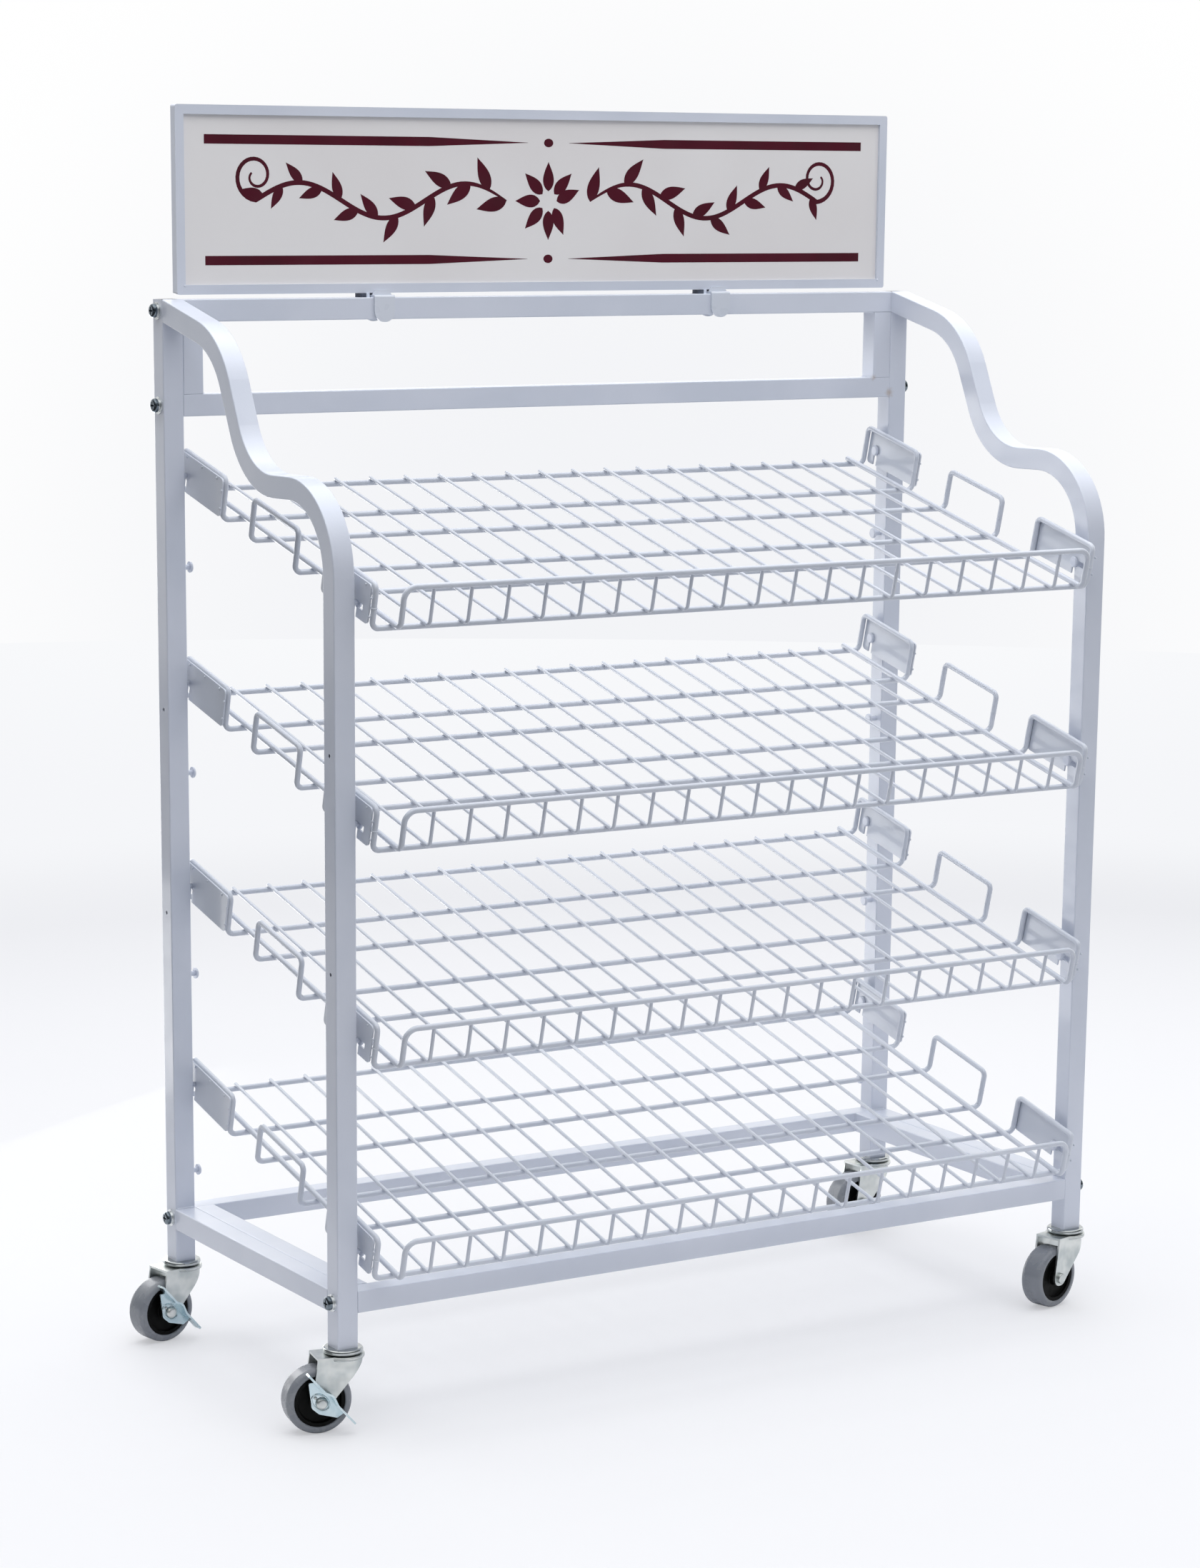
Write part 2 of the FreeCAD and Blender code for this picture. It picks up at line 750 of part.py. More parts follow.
ring_radius = d.ring_wire / 2
ear_x = half_width - d.tube_side - d.shelf_side_gap - d.plate_sheet - ring_radius
plate_x = ear_x + ring_radius + d.plate_sheet / 2
rim_x = ear_x - d.rim_inset
rim_level = d.ring_wire
cross_level = ring_radius + d.cross_wire / 2
RING_COUNT = 3
ring_step = (front_hook_depth - d.front_hook_inset) / (RING_COUNT - 1)
RING_STARTS = [ring_step * number for number in range(RING_COUNT)]
lip_depth = RING_STARTS[-1] + d.ring_depth + d.lip_overhang
upright_depth = lip_depth - ring_radius - d.cross_wire / 2


def place_shelf(item, level):
    """Hangs a shelf's piece so that its rear hook sits on the raised stud of a level."""
    lean = sine(shelf_tilt)
    stand = cosine(shelf_tilt)
    y = post_y + d.rear_hook_depth * stand + rear_hook_height * lean
    z = raised_studs[level] + d.rear_hook_depth * lean - rear_hook_height * stand
    place(item, 0, y, z, turn=shelf_tilt, axis=Vector(1, 0, 0))


def bent_wire(corners, bends, wire_radius, closed):
    """A round wire along straight runs, each corner turned by an arc of its bend's radius."""
    count = len(corners)
    run_starts = list(corners)
    run_ends = list(corners)
    pieces = []
    for index in range(count) if closed else range(1, count - 1):
        back = (corners[index - 1] - corners[index]).normalize()
        ahead = (corners[(index + 1) % count] - corners[index]).normalize()
        half_angle = back.getAngle(ahead) / 2
        reach = bends[index] / math.tan(half_angle)
        run_ends[index] = corners[index] + back * reach
        run_starts[index] = corners[index] + ahead * reach
        to_centre = (back + ahead).normalize() * (bends[index] / math.sin(half_angle))
        centre = corners[index] + to_centre
        circle = Part.Circle(run_ends[index], back, wire_radius)
        face = Part.Face(Part.Wire(circle.toShape()))
        turn = 180 - math.degrees(2 * half_angle)
        pieces.append(face.revolve(centre, ahead.cross(back), turn))
    for index in range(count if closed else count - 1):
        start = run_starts[index]
        run = run_ends[(index + 1) % count] - start
        pieces.append(Part.makeCylinder(wire_radius, run.Length, start, run))
    return pieces[0].multiFuse(pieces[1:]).removeSplitter()


def wire_feature(label, shapes, level):
    """One node of bent wires; their runs turn out of any single sketch's plane."""
    item = doc.addObject("Part::Feature", label)
    item.Label = label
    item.Shape = shapes[0] if len(shapes) == 1 else Part.makeCompound(shapes)
    place_shelf(item, level)


def ring(start):
    """A closed ring: a rear and a front wire joined by an upright ear at each end."""
    x = ear_x.number
    rear = -number_of(start)
    front = rear - d.ring_depth.number
    top = d.ear_height.number
    corners = []
    bends = []
    for end in (-1, 1):
        first, last = (rear, front) if end < 0 else (front, rear)
        corners += [
            Vector(x * end, first, 0), Vector(x * end, first, top),
            Vector(x * end, last, top), Vector(x * end, last, 0),
        ]
        bends += [d.ring_bend.number, d.ear_round.number, d.ear_round.number, d.ring_bend.number]
    return bent_wire(corners, bends, ring_radius.number, closed=True)


def rim():
    """The wire along both sides of the shelf, up at the front and across as the lip."""
    x = rim_x.number
    rear = d.rim_overhang.number
    front = -lip_depth.number
    low = rim_level.number
    high = low + d.lip_height.number
    corners = [
        Vector(-x, rear, low), Vector(-x, front, low), Vector(-x, front, high),
        Vector(x, front, high), Vector(x, front, low), Vector(x, rear, low),
    ]
    bend = d.rim_bend.number
    corner = d.rim_corner.number
    return bent_wire(corners, [0, bend, corner, corner, bend, 0], ring_radius.number, closed=False)


def cross_wires(label, level):
    """Thin wires from front to back on the rings, each turned up behind the lip."""
    body = new_body(label)
    first_x = d.cross_wire_pitch * (d.cross_wire_count - 1) / -2
    path = new_sketch(body, "path", "YZ_Plane", (0, 0, first_x))
    corners = [
        (d.cross_wire_overhang, cross_level, 0),
        (-upright_depth, cross_level, d.cross_wire_bend),
        (-upright_depth, rim_level + d.lip_height, 0),
    ]
    draw_runs(path, corners, closed=False)
    section = new_sketch(body, "section", "XZ_Plane", (0, 0, -d.cross_wire_overhang))
    draw_circle(section, first_x, cross_level, d.cross_wire)
    doc.recompute()
    wire = pipe(body, "wire", section, path)
    row = body.newObject("PartDesign::LinearPattern", f"{body.Name}_row")
    row.Originals = [wire]
    sideways = [item for item in body.Origin.OriginFeatures if item.Role == "X_Axis"][0]
    row.Direction = (sideways, [""])
    bind(row, "Length", d.cross_wire_pitch * (d.cross_wire_count - 1))
    bind(row, "Occurrences", d.cross_wire_count)
    body.Tip = row
    place_shelf(body, level)


def plate_corners(start, slot):
    """A hook plate's outline: the slot's corners come between its two lower corners."""
    low = d.plate_bottom
    end = start + d.plate_depth
    lower = [(-start, low, d.plate_round)]
    upper = [
        (-end, low, d.plate_round), (-end, d.ear_height, d.plate_round),
        (-start, d.ear_height, d.plate_round),
    ]
    return lower + slot + upper


def hook_plates(label, level):
    """The rear plates hook down over the raised studs, the front ones over the front studs."""
    body = new_body(label)
    low = d.plate_bottom
    half_slot = d.slot_width / 2
    top = d.rear_slot_top
    near = d.rear_hook_depth - half_slot
    far = d.rear_hook_depth + half_slot
    rear_slot = [
        (-near, low, 0), (-near, top, d.slot_round), (-far, top, d.slot_round), (-far, low, 0),
    ]
    entry = front_hook_depth - seat
    entry_end = entry + d.slot_width
    leg_end = entry_end + d.slot_leg_reach
    leg_top = d.front_slot_top
    leg_low = leg_top - d.slot_leg_height
    front_slot = [
        (-entry, low, 0), (-entry, leg_top, d.slot_round), (-leg_end, leg_top, d.slot_leg_round),
        (-leg_end, leg_low, d.slot_leg_round), (-entry_end, leg_low, d.slot_heel_round),
        (-entry_end, low, 0),
    ]
    rear = plate_corners(d.rear_plate_start, rear_slot)
    front = plate_corners(RING_STARTS[-1] + d.front_plate_start, front_slot)
    for side_name, side in SIDES:
        for name, corners in (("rear", rear), ("front", front)):
            sketch = new_sketch(body, f"{name}_{side_name}", "YZ_Plane", (0, 0, plate_x * side))
            draw_runs(sketch, corners)
            pad(body, f"{name}_{side_name}", sketch, d.plate_sheet)
    place_shelf(body, level)


ring_shapes = [ring(start) for start in RING_STARTS]
rim_shape = rim()
for number in range(1, SHELF_COUNT + 1):
    level = SHELF_COUNT - number
    wire_feature(f"shelf_{number}_rings", [shape.copy() for shape in ring_shapes], level)
    wire_feature(f"shelf_{number}_rim", [rim_shape.copy()], level)
    cross_wires(f"shelf_{number}_cross_wires", level)
    hook_plates(f"shelf_{number}_hook_plates", level)


# ---------------------------------------------------------------- sign
#
# The sign's pieces are drawn about the middle of the sign's bottom edge.

sign_z = frame_top + d.sign_gap
half_sign = d.sign_width / 2
sign_frame = new_body("sign_frame")
face = new_sketch(sign_frame, "face", "XZ_Plane")
draw_runs(face, rectangle(-half_sign, 0, half_sign, d.sign_height, d.sign_round))
open_x = half_sign - d.sign_border
open_low = d.sign_border
open_high = d.sign_height - d.sign_border
draw_runs(face, rectangle(-open_x, open_low, open_x, open_high))
pad(sign_frame, "border", face, d.sign_thick)
rebate_y = d.sign_thick / 2 - d.sign_lip
rebate = new_sketch(sign_frame, "rebate", "XZ_Plane", (0, 0, rebate_y))
back_x = open_x + d.sign_rebate
back_low = open_low - d.sign_rebate
back_high = open_high + d.sign_rebate
draw_runs(rebate, rectangle(-back_x, back_low, back_x, back_high))
pocket(sign_frame, "rebate", rebate, d.sign_thick, symmetric=False)
place(sign_frame, d.sign_shift, post_y, sign_z)

sign_panel = new_body("sign_panel")
panel = new_sketch(sign_panel, "sheet", "XZ_Plane", (0, 0, rebate_y))
panel_x = back_x - d.panel_clearance
panel_low = back_low + d.panel_clearance
panel_high = back_high - d.panel_clearance
draw_runs(panel, rectangle(-panel_x, panel_low, panel_x, panel_high))
pad(sign_panel, "sheet", panel, d.panel_thick, symmetric=False, backward=True)
place(sign_panel, d.sign_shift, post_y, sign_z)

# Clips: a strip bent over the top rail, with a lip before the sign and a tab behind it. The
# outline is drawn about the middle of the rail's top face.
sign_clips = new_body("sign_clips")
inner = half_tube + d.clip_fit
outer = inner + d.clip_sheet
channel = d.sign_thick / 2 + d.clip_fit
channel_outer = channel + d.clip_sheet
saddle = d.clip_sheet
for side_name, side in SIDES:
    x = d.clip_spacing / 2 * side
    strip = new_sketch(sign_clips, f"{side_name}_strip", "YZ_Plane", (0, 0, x))
    draw_runs(
        strip,
        [
            (-outer, -d.clip_tail, 0), (-inner, -d.clip_tail, 0), (-inner, 0, 0), (inner, 0, 0),
            (inner, -d.clip_tail, 0), (outer, -d.clip_tail, 0), (outer, saddle, d.clip_sheet),
            (channel_outer, saddle, 0), (channel_outer, d.clip_back_height, 0),
            (channel, d.clip_back_height, 0), (channel, saddle, 0), (-channel, saddle, 0),
            (-channel, d.clip_lip_height, 0), (-channel_outer, d.clip_lip_height, 0),
            (-channel_outer, saddle, 0), (-outer, saddle, d.clip_sheet),
        ],
    )
    pad(sign_clips, f"{side_name}_strip", strip, d.clip_width)
    edge = new_sketch(sign_clips, f"{side_name}_edge", "XZ_Plane", (x, 0, 0))
    wide = d.clip_width / 2
    lip = d.clip_lip_width / 2
    foot = lip + d.clip_lip_slope
    margin = d.clip_width
    draw_runs(edge, rectangle(-margin, -margin * 2, margin, margin * 2))
    draw_runs(
        edge,
        [
            (-wide, -d.clip_tail, d.clip_round), (wide, -d.clip_tail, d.clip_round),
            (wide, saddle, 0), (foot, saddle, 0), (lip, d.clip_lip_height, 0),
            (lip, d.clip_back_height, d.clip_tab_round), (-lip, d.clip_back_height, d.clip_tab_round),
            (-lip, d.clip_lip_height, 0), (-foot, saddle, 0), (-wide, saddle, 0),
        ],
    )
    pocket(sign_clips, f"{side_name}_edge", edge)
place(sign_clips, 0, post_y, frame_top)

# Rubber pads under the sign's bottom edge, one to the left of each clip.
sign_pads = new_body("sign_pads")
for side_name, side in SIDES:
    x = d.clip_spacing / 2 * side - d.clip_width / 2 - d.pad_offset
    sketch = new_sketch(sign_pads, side_name, "XY_Plane", (x, 0, 0))
    half_pad = d.pad_depth / 2
    draw_runs(sketch, rectangle(0, -half_pad, d.pad_width, half_pad, d.pad_round))
    pad(sign_pads, side_name, sketch, d.sign_gap, symmetric=False)
place(sign_pads, 0, post_y, frame_top)


# ---------------------------------------------------------------- casters
#
# A caster is drawn about its swivel axis with z = 0 on the floor and its wheel trailing
# toward -x; the side at -y is the outer one. Each is then turned about its post.

wheel_radius = d.wheel_diameter / 2
axle_x = -d.caster_trail
leg_outer = d.fork_leg_inner + d.fork_sheet
fork_under = d.fork_top - d.fork_sheet

caster_stems = new_body("caster_stems")
cup_low = d.post_foot - d.cup_height
race_low = d.fork_top + d.race_gap
pivot = d.stem_diameter / 2
rivet_top = fork_under - d.race_gap
rivet_low = rivet_top - d.rivet_head_thick
for side_name, side in SIDES:
    for end_name, end in (("front", -1), ("rear", 1)):
        name = f"{end_name}_{side_name}"
        sketch = new_sketch(caster_stems, name, "XZ_Plane", (post_x * side, 0, -post_y * end))
        draw_runs(
            sketch,
            [
                (0, rivet_low, 0), (d.rivet_head_diameter / 2, rivet_low, d.stem_round),
                (d.rivet_head_diameter / 2, rivet_top, 0), (pivot, rivet_top, 0),
                (pivot, race_low, 0), (d.race_diameter / 2, race_low, 0),
                (d.race_diameter / 2, cup_low, 0), (d.cup_diameter / 2, cup_low, d.cup_round),
                (d.cup_diameter / 2, d.post_foot, d.cup_round), (pivot, d.post_foot, 0),
                (pivot, d.post_foot + d.stem_length, d.stem_round),
                (0, d.post_foot + d.stem_length, 0),
            ],
        )
        revolve(caster_stems, name, sketch, "V_Axis")


def fork(label):
    """Pressed sheet: a U in plan under a round crown, trimmed to a raked side outline."""
    body = new_body(label)
    nose = d.fork_nose
    toe = d.fork_toe
    back = d.caster_trail + toe + d.fork_sheet
    plan = new_sketch(body, "plan", "XY_Plane")
    nose_round = leg_outer - d.fork_nose_flat
    draw_runs(
        plan,
        [
            (-back, -leg_outer, 0), (nose, -leg_outer, nose_round),
            (nose, leg_outer, nose_round), (-back, leg_outer, 0),
        ],
    )
    pad(body, "shell", plan, d.fork_top, symmetric=False)
    inside = new_sketch(body, "inside", "XY_Plane")
    leg_inner = d.fork_leg_inner
    nose_inner = nose - d.fork_sheet
    inner_round = leg_inner - d.fork_nose_flat
    draw_runs(
        inside,
        [
            (-back * 2, -leg_inner, 0), (nose_inner, -leg_inner, inner_round),
            (nose_inner, leg_inner, inner_round), (-back * 2, leg_inner, 0),
        ],
    )
    pocket(body, "inside", inside, fork_under, symmetric=False, backward=True)
    side = new_sketch(body, "side", "XZ_Plane")
    margin = d.wheel_diameter
    above = d.fork_top + d.fork_sheet
    draw_runs(side, rectangle(-margin, -margin, margin, margin * 2))
    draw_runs(
        side,
        [
            (nose + d.fork_sheet, above, 0),
            (-d.fork_tail, above, 0),
            (-d.fork_tail, fork_under - d.fork_tail_lip, 0),
            (axle_x - toe, wheel_radius + d.fork_heel_rise, d.fork_heel_round),
            (axle_x - toe, wheel_radius - toe, d.fork_toe_round),
            (axle_x + d.fork_toe_reach, wheel_radius - toe, d.fork_toe_front_round),
            (nose - d.fork_brow_inset, fork_under - d.fork_brow_drop, d.fork_brow_round),
        ],
    )
    pocket(body, "side", side)
    crown = new_sketch(body, "crown", "XZ_Plane")
    crown_radius = d.fork_crown_diameter / 2
    draw_runs(
        crown,
        [
            (0, fork_under, 0), (crown_radius, fork_under, 0),
            (crown_radius, d.fork_top, d.fork_crown_round), (0, d.fork_top, 0),
        ],
    )
    revolve(body, "crown", crown, "V_Axis")
    holes = new_sketch(body, "axle_holes", "XZ_Plane")
    draw_circle(holes, axle_x, wheel_radius, d.axle_diameter + d.running_clearance * 2)
    pocket(body, "axle_holes", holes)
    swivel = new_sketch(body, "swivel_hole", "XY_Plane")
    draw_circle(swivel, 0, 0, d.stem_diameter + d.running_clearance * 2)
    pocket(body, "swivel_hole", swivel)
    return body


def turned_about_axle(label, name, outline):
    """Revolves an outline of (y, radius) corners about the caster's axle."""
    body = new_body(label)
    sketch = new_sketch(body, name, "YZ_Plane", (0, wheel_radius, axle_x))
    draw_runs(sketch, outline)
    revolve(body, name, sketch, "H_Axis")
    return body


def axle(label, has_brake):
    """A shouldered bolt: a head outside each leg, or a domed nut beyond the brake lever."""
    shaft = d.axle_diameter / 2
    outer_face = -leg_outer
    outer_radius = d.axle_head_diameter / 2
    outer_round = d.axle_head_round
    if has_brake:
        outer_face = outer_face - d.brake_gap * 2 - d.brake_sheet
        outer_radius = d.brake_nut_diameter / 2
        outer_round = d.brake_nut_round
    outer_end = outer_face - d.axle_head_thick
    inner_end = leg_outer + d.axle_head_thick
    inner_radius = d.axle_head_diameter / 2
    outline = [
        (outer_end, 0, 0), (outer_end, outer_radius, outer_round),
        (outer_face, outer_radius, 0), (outer_face, shaft, 0), (leg_outer, shaft, 0),
        (leg_outer, inner_radius, 0), (inner_end, inner_radius, d.axle_head_round),
        (inner_end, 0, 0),
    ]
    return turned_about_axle(label, "bolt", outline)


def hub(label):
    """A disc with a raised rim, a dished web and a boss that runs on the axle."""
    bore = d.axle_diameter / 2 + d.running_clearance
    boss = d.hub_boss_diameter / 2
    rim_radius = d.hub_diameter / 2 - d.tread_fit
    dish = d.hub_dish_diameter / 2
    half_hub = d.hub_width / 2
    half_boss = d.fork_leg_inner - d.side_play
    web = half_hub - d.hub_dish_depth
    outline = [
        (-half_boss, bore, 0), (half_boss, bore, 0), (half_boss, boss, d.hub_boss_round),
        (web, boss, d.hub_boss_round), (web, dish, d.hub_dish_round),
        (half_hub, dish, d.hub_edge_round), (half_hub, rim_radius, 0),
        (-half_hub, rim_radius, 0), (-half_hub, dish, d.hub_edge_round),
        (-web, dish, d.hub_dish_round), (-web, boss, d.hub_boss_round),
        (-half_boss, boss, d.hub_boss_round),
    ]
    return turned_about_axle(label, "disc", outline)


def tread(label):
    half_tread = d.tread_width / 2
    inside = d.hub_diameter / 2
    outline = [
        (-half_tread, inside, d.tread_seat_round), (half_tread, inside, d.tread_seat_round),
        (half_tread, wheel_radius, d.tread_round), (-half_tread, wheel_radius, d.tread_round),
    ]
    return turned_about_axle(label, "tyre", outline)


def thicken(path, thickness):
    """The outline of a strip of even thickness whose right-hand face follows a path."""
    normals = []
    for (from_x, from_y, _), (to_x, to_y, _) in zip(path, path[1:]):
        run = to_x - from_x
        rise = to_y - from_y
        length = root(run * run + rise * rise)
        normals.append((-rise / length, run / length))
    far_face = []
    for index, (x, y, bend) in enumerate(path):
        before_x, before_y = normals[max(index - 1, 0)]
        after_x, after_y = normals[min(index, len(normals) - 1)]
        share = thickness / (1 + before_x * after_x + before_y * after_y)
        turn = before_x.number * after_y.number - before_y.number * after_x.number
        if number_of(bend) > 0:
            bend = bend + thickness if turn < 0 else bend - thickness
        far_face.append((x + (before_x + after_x) * share, y + (before_y + after_y) * share, bend))
    return path + far_face[::-1]


def brake(label):
    """A lever on the axle: a flat plate folded outward along one edge, with a pedal each way."""
    body = new_body(label)
    plate_place = (axle_x, wheel_radius, leg_outer + d.brake_gap)
    top = (-d.pedal_top_back, d.pedal_top_rise, 0)
    crest = (d.fold_crest_reach, d.fold_crest_rise, d.fold_bend)
    brow = (d.fold_brow_reach, d.fold_brow_rise, d.fold_brow_bend)
    waist = (d.fold_waist_reach, -d.fold_waist_drop, d.fold_bend)
    end = (d.pedal_end_reach, -d.pedal_end_drop, 0)
    upper_slope = (crest[0] - top[0]) / (top[1] - crest[1])
    lower_slope = (end[1] - waist[1]) / (end[0] - waist[0])
    plate_top = top[0] + (top[1] - d.lever_rise) * upper_slope
    join_height = waist[1] + (d.lever_join_reach - waist[0]) * lower_slope
    plate = new_sketch(body, "plate", "XZ_Plane", plate_place)
    draw_runs(
        plate,
        [
            (-d.lever_back, d.lever_rise, d.lever_round),
            (-d.lever_hip_back, -d.lever_hip_drop, d.lever_belly_round),
            (-d.lever_belly_back, -d.lever_belly_drop, d.lever_belly_round),
            (d.lever_toe_reach, -d.lever_toe_drop, d.lever_round),
            (d.lever_join_reach, join_height, 0),
            waist,
            brow,
            crest,
            (plate_top, d.lever_rise, 0),
        ],
    )
    draw_circle(plate, 0, 0, d.axle_diameter + d.running_clearance * 2)
    pad(body, "plate", plate, d.brake_sheet, symmetric=False)
    flange = new_sketch(body, "flange", "XZ_Plane", plate_place)
    draw_runs(flange, thicken([top, crest, brow, waist, end], d.brake_sheet))
    pad(body, "flange", flange, d.brake_flange, symmetric=False)
    return body


CASTERS = (
    ("front_left", -1, -1, d.front_left_turn, True),
    ("rear_left", -1, 1, d.rear_left_turn, True),
    ("front_right", 1, -1, d.front_right_turn, False),
    ("rear_right", 1, 1, d.rear_right_turn, False),
)
for name, side, end, turn, has_brake in CASTERS:
    pieces = [
        fork(f"{name}_fork"),
        axle(f"{name}_axle", has_brake),
        hub(f"{name}_hub"),
        tread(f"{name}_tread"),
    ]
    if has_brake:
        pieces.append(brake(f"{name}_brake"))
    for piece in pieces:
        place(piece, post_x * side, post_y * end, 0, turn=turn)

# ---------------------------------------------------------------- check and write

doc.recompute()
for item in doc.Objects:
    if {"Invalid", "Error"} & set(item.State):
        raise RuntimeError(f"{item.Label} failed: {item.State}")
nodes = [item for item in doc.Objects if item.TypeId in ("PartDesign::Body", "Part::Feature")]
for node in nodes:
    if node.Shape.isNull() or not node.Shape.isValid() or not node.Shape.Solids:
        raise RuntimeError(f"{node.Label} has no valid solid")
for node in nodes:
    node.Shape.exportStep(f"parts/{node.Label}.step")
print(len(nodes), "nodes written")
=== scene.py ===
# %% [markdown]
# # A bread rack on casters, dressed in Blender
#
# The construction of the rack is already fixed: every tube, wire, bolt and wheel comes as a
# mesh in metres, in one shared frame. This lesson gives them their finish and adds the small
# forms that a workshop leaves behind: welds, cut vinyl, a pressed pedal.

# %% Load the frame
import json
import math

import bpy
from mathutils import Matrix, Vector


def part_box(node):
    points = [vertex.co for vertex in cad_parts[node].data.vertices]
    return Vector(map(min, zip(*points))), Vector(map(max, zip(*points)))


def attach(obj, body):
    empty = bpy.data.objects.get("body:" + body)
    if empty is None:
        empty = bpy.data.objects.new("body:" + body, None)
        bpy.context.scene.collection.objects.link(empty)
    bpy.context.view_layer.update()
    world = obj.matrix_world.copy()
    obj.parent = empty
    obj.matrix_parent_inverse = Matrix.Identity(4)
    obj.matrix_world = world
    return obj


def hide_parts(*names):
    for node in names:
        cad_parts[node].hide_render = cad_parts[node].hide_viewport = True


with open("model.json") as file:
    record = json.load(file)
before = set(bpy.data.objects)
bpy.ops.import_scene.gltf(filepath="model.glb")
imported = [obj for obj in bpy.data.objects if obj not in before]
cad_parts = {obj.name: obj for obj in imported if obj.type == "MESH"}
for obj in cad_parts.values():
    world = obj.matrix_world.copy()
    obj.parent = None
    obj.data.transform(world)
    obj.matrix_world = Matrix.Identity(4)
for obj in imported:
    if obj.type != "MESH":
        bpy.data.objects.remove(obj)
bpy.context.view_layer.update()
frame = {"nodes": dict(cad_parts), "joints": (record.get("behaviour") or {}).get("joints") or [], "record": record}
nodes = frame["nodes"]
scene = bpy.context.scene

# %% [markdown]
# ## One writer for every node tree
#
# Shader trees and Geometry Nodes trees are both boxes joined by links. They could be wired by
# hand, line after line, but a formula such as `1 - mask * 0.4` is far easier to read than
# three boxes and four links. So a `Wire` wraps a socket and answers to Python's operators,
# and a `Board` wraps a tree and adds any other box in one call. It also knows the three
# recipes that come back all the time: a smooth change of range, a mix of two colours and the
# distance from a point.

# %% Wires and boards


class Wire:
    """A socket of a node tree; arithmetic on it adds Math nodes."""

    def __init__(self, board, socket):
        self.board = board
        self.socket = socket

    def __add__(self, other):
        return self.board.math("ADD", self, other)

    def __sub__(self, other):
        return self.board.math("SUBTRACT", self, other)

    def __rsub__(self, other):
        return self.board.math("SUBTRACT", other, self)

    def __mul__(self, other):
        return self.board.math("MULTIPLY", self, other)

    def __truediv__(self, other):
        return self.board.math("DIVIDE", self, other)


class Board:
    """A node tree, shader or geometry, that boxes and links are added to."""

    def __init__(self, tree):
        self.tree = tree

    def box(self, kind, settings=None, inputs=None, output=0):
        """Adds one node: its settings first, then the values or links of its sockets."""
        box = self.tree.nodes.new(kind)
        for name, value in (settings or {}).items():
            setattr(box, name, value)
        for name, value in (inputs or {}).items():
            self.feed(box.inputs[name], value)
        return Wire(self, box.outputs[output])

    def feed(self, socket, value):
        """Links a wire to a socket, or sets the socket's own value."""
        if isinstance(value, Wire):
            self.tree.links.new(value.socket, socket)
        else:
            socket.default_value = value

    def math(self, operation, *values):
        return self.box("ShaderNodeMath", {"operation": operation}, dict(enumerate(values)))

    def spread(self, value, low, high, start=0.35, end=0.65):
        """Carries a value from one range to another, smoothly and within its ends."""
        return self.box(
            "ShaderNodeMapRange",
            {"interpolation_type": "SMOOTHSTEP"},
            {"Value": value, "From Min": start, "From Max": end, "To Min": low, "To Max": high},
        )

    def blend(self, share, first, second):
        """A colour between two colours; a Mix box's colour sockets go by number."""
        mix = self.tree.nodes.new("ShaderNodeMix")
        mix.data_type = "RGBA"
        for number, value in ((0, share), (6, first), (7, second)):
            self.feed(mix.inputs[number], value)
        return Wire(self, mix.outputs[2])

    def distance(self, place, point):
        """How far a place is from a point."""
        return self.box(
            "ShaderNodeVectorMath", {"operation": "DISTANCE"}, {0: place, 1: point}, output=1
        )


print("wires and boards ready")

# %% [markdown]
# ## Colours as a paint shop writes them
#
# A colour card gives colours from 0 to 255 for each of red, green and blue, while Blender's
# sockets want linear light. The sRGB curve between the two is short enough to write down.

# %% Colours


def paint_chip(red, green, blue):
    """A colour card's 0 to 255 values as a linear colour with full cover."""
    linear = []
    for level in (red, green, blue):
        share = level / 255
        linear.append(share / 12.92 if share <= 0.04045 else ((share + 0.055) / 1.055) ** 2.4)
    return (*linear, 1.0)


POWDER_COAT = paint_chip(215, 220, 232)
POWDER_COAT_THIN = paint_chip(208, 214, 227)
# Painted shade: the shelves' coat is a darker copy of the frame's, standing in for the deeper shade on the thin
# wires.
SHELF_COAT_SHADED = paint_chip(208, 213, 223)
SHELF_COAT_THIN_SHADED = paint_chip(201, 207, 218)
# Painted highlight: the clip's coat is a lighter copy of the frame's, standing in for the brighter light on the
# clip's rounded tongue.
CLIP_COAT_LIT = paint_chip(216, 221, 231)
CLIP_COAT_THIN_LIT = paint_chip(210, 216, 227)
SCORCH = paint_chip(168, 142, 118)
print("powder coat in linear light:", [round(value, 3) for value in POWDER_COAT])

# %% [markdown]
# ## A finish: one material, one function
#
# Every finish here is Blender's Principled BSDF with a few values that change over the
# surface. `Finish` starts such a material. It reads the place on the piece, grows a noise
# pattern of a given size in metres, and turns a height into a bump. What is the same
# everywhere is set straight on the shader's sockets.

# %% The base of every finish


class Finish(Board):
    """A material with a Principled shader, and the patterns that the finishes share."""

    def __init__(self, name, **constants):
        self.material = bpy.data.materials.new(name)
        self.material.use_nodes = True
        super().__init__(self.material.node_tree)
        self.tree.nodes.clear()
        shader = self.box("ShaderNodeBsdfPrincipled")
        self.shader = shader.socket.node
        self.end = self.tree.nodes.new("ShaderNodeOutputMaterial")
        self.tree.links.new(shader.socket, self.end.inputs["Surface"])
        place = self.tree.nodes.new("ShaderNodeTexCoord")
        self.place = Wire(self, place.outputs["Object"])
        for socket_name, value in constants.items():
            self.shader.inputs[socket_name.replace("_", " ")].default_value = value

    def put(self, socket_name, value):
        self.feed(self.shader.inputs[socket_name], value)

    def noise(self, size, detail=2.0):
        """A soft random pattern from 0 to 1 whose blotches are about one size across."""
        return self.box(
            "ShaderNodeTexNoise",
            inputs={"Vector": self.place, "Scale": 1 / size, "Detail": detail},
        )

    def bump(self, height, depth):
        """Shades the surface as if its height, from 0 to 1, were that deep in metres."""
        self.put(
            "Normal",
            self.box(
                "ShaderNodeBump", inputs={"Height": height, "Distance": depth, "Strength": 1.0}
            ),
        )


print("finish base ready")

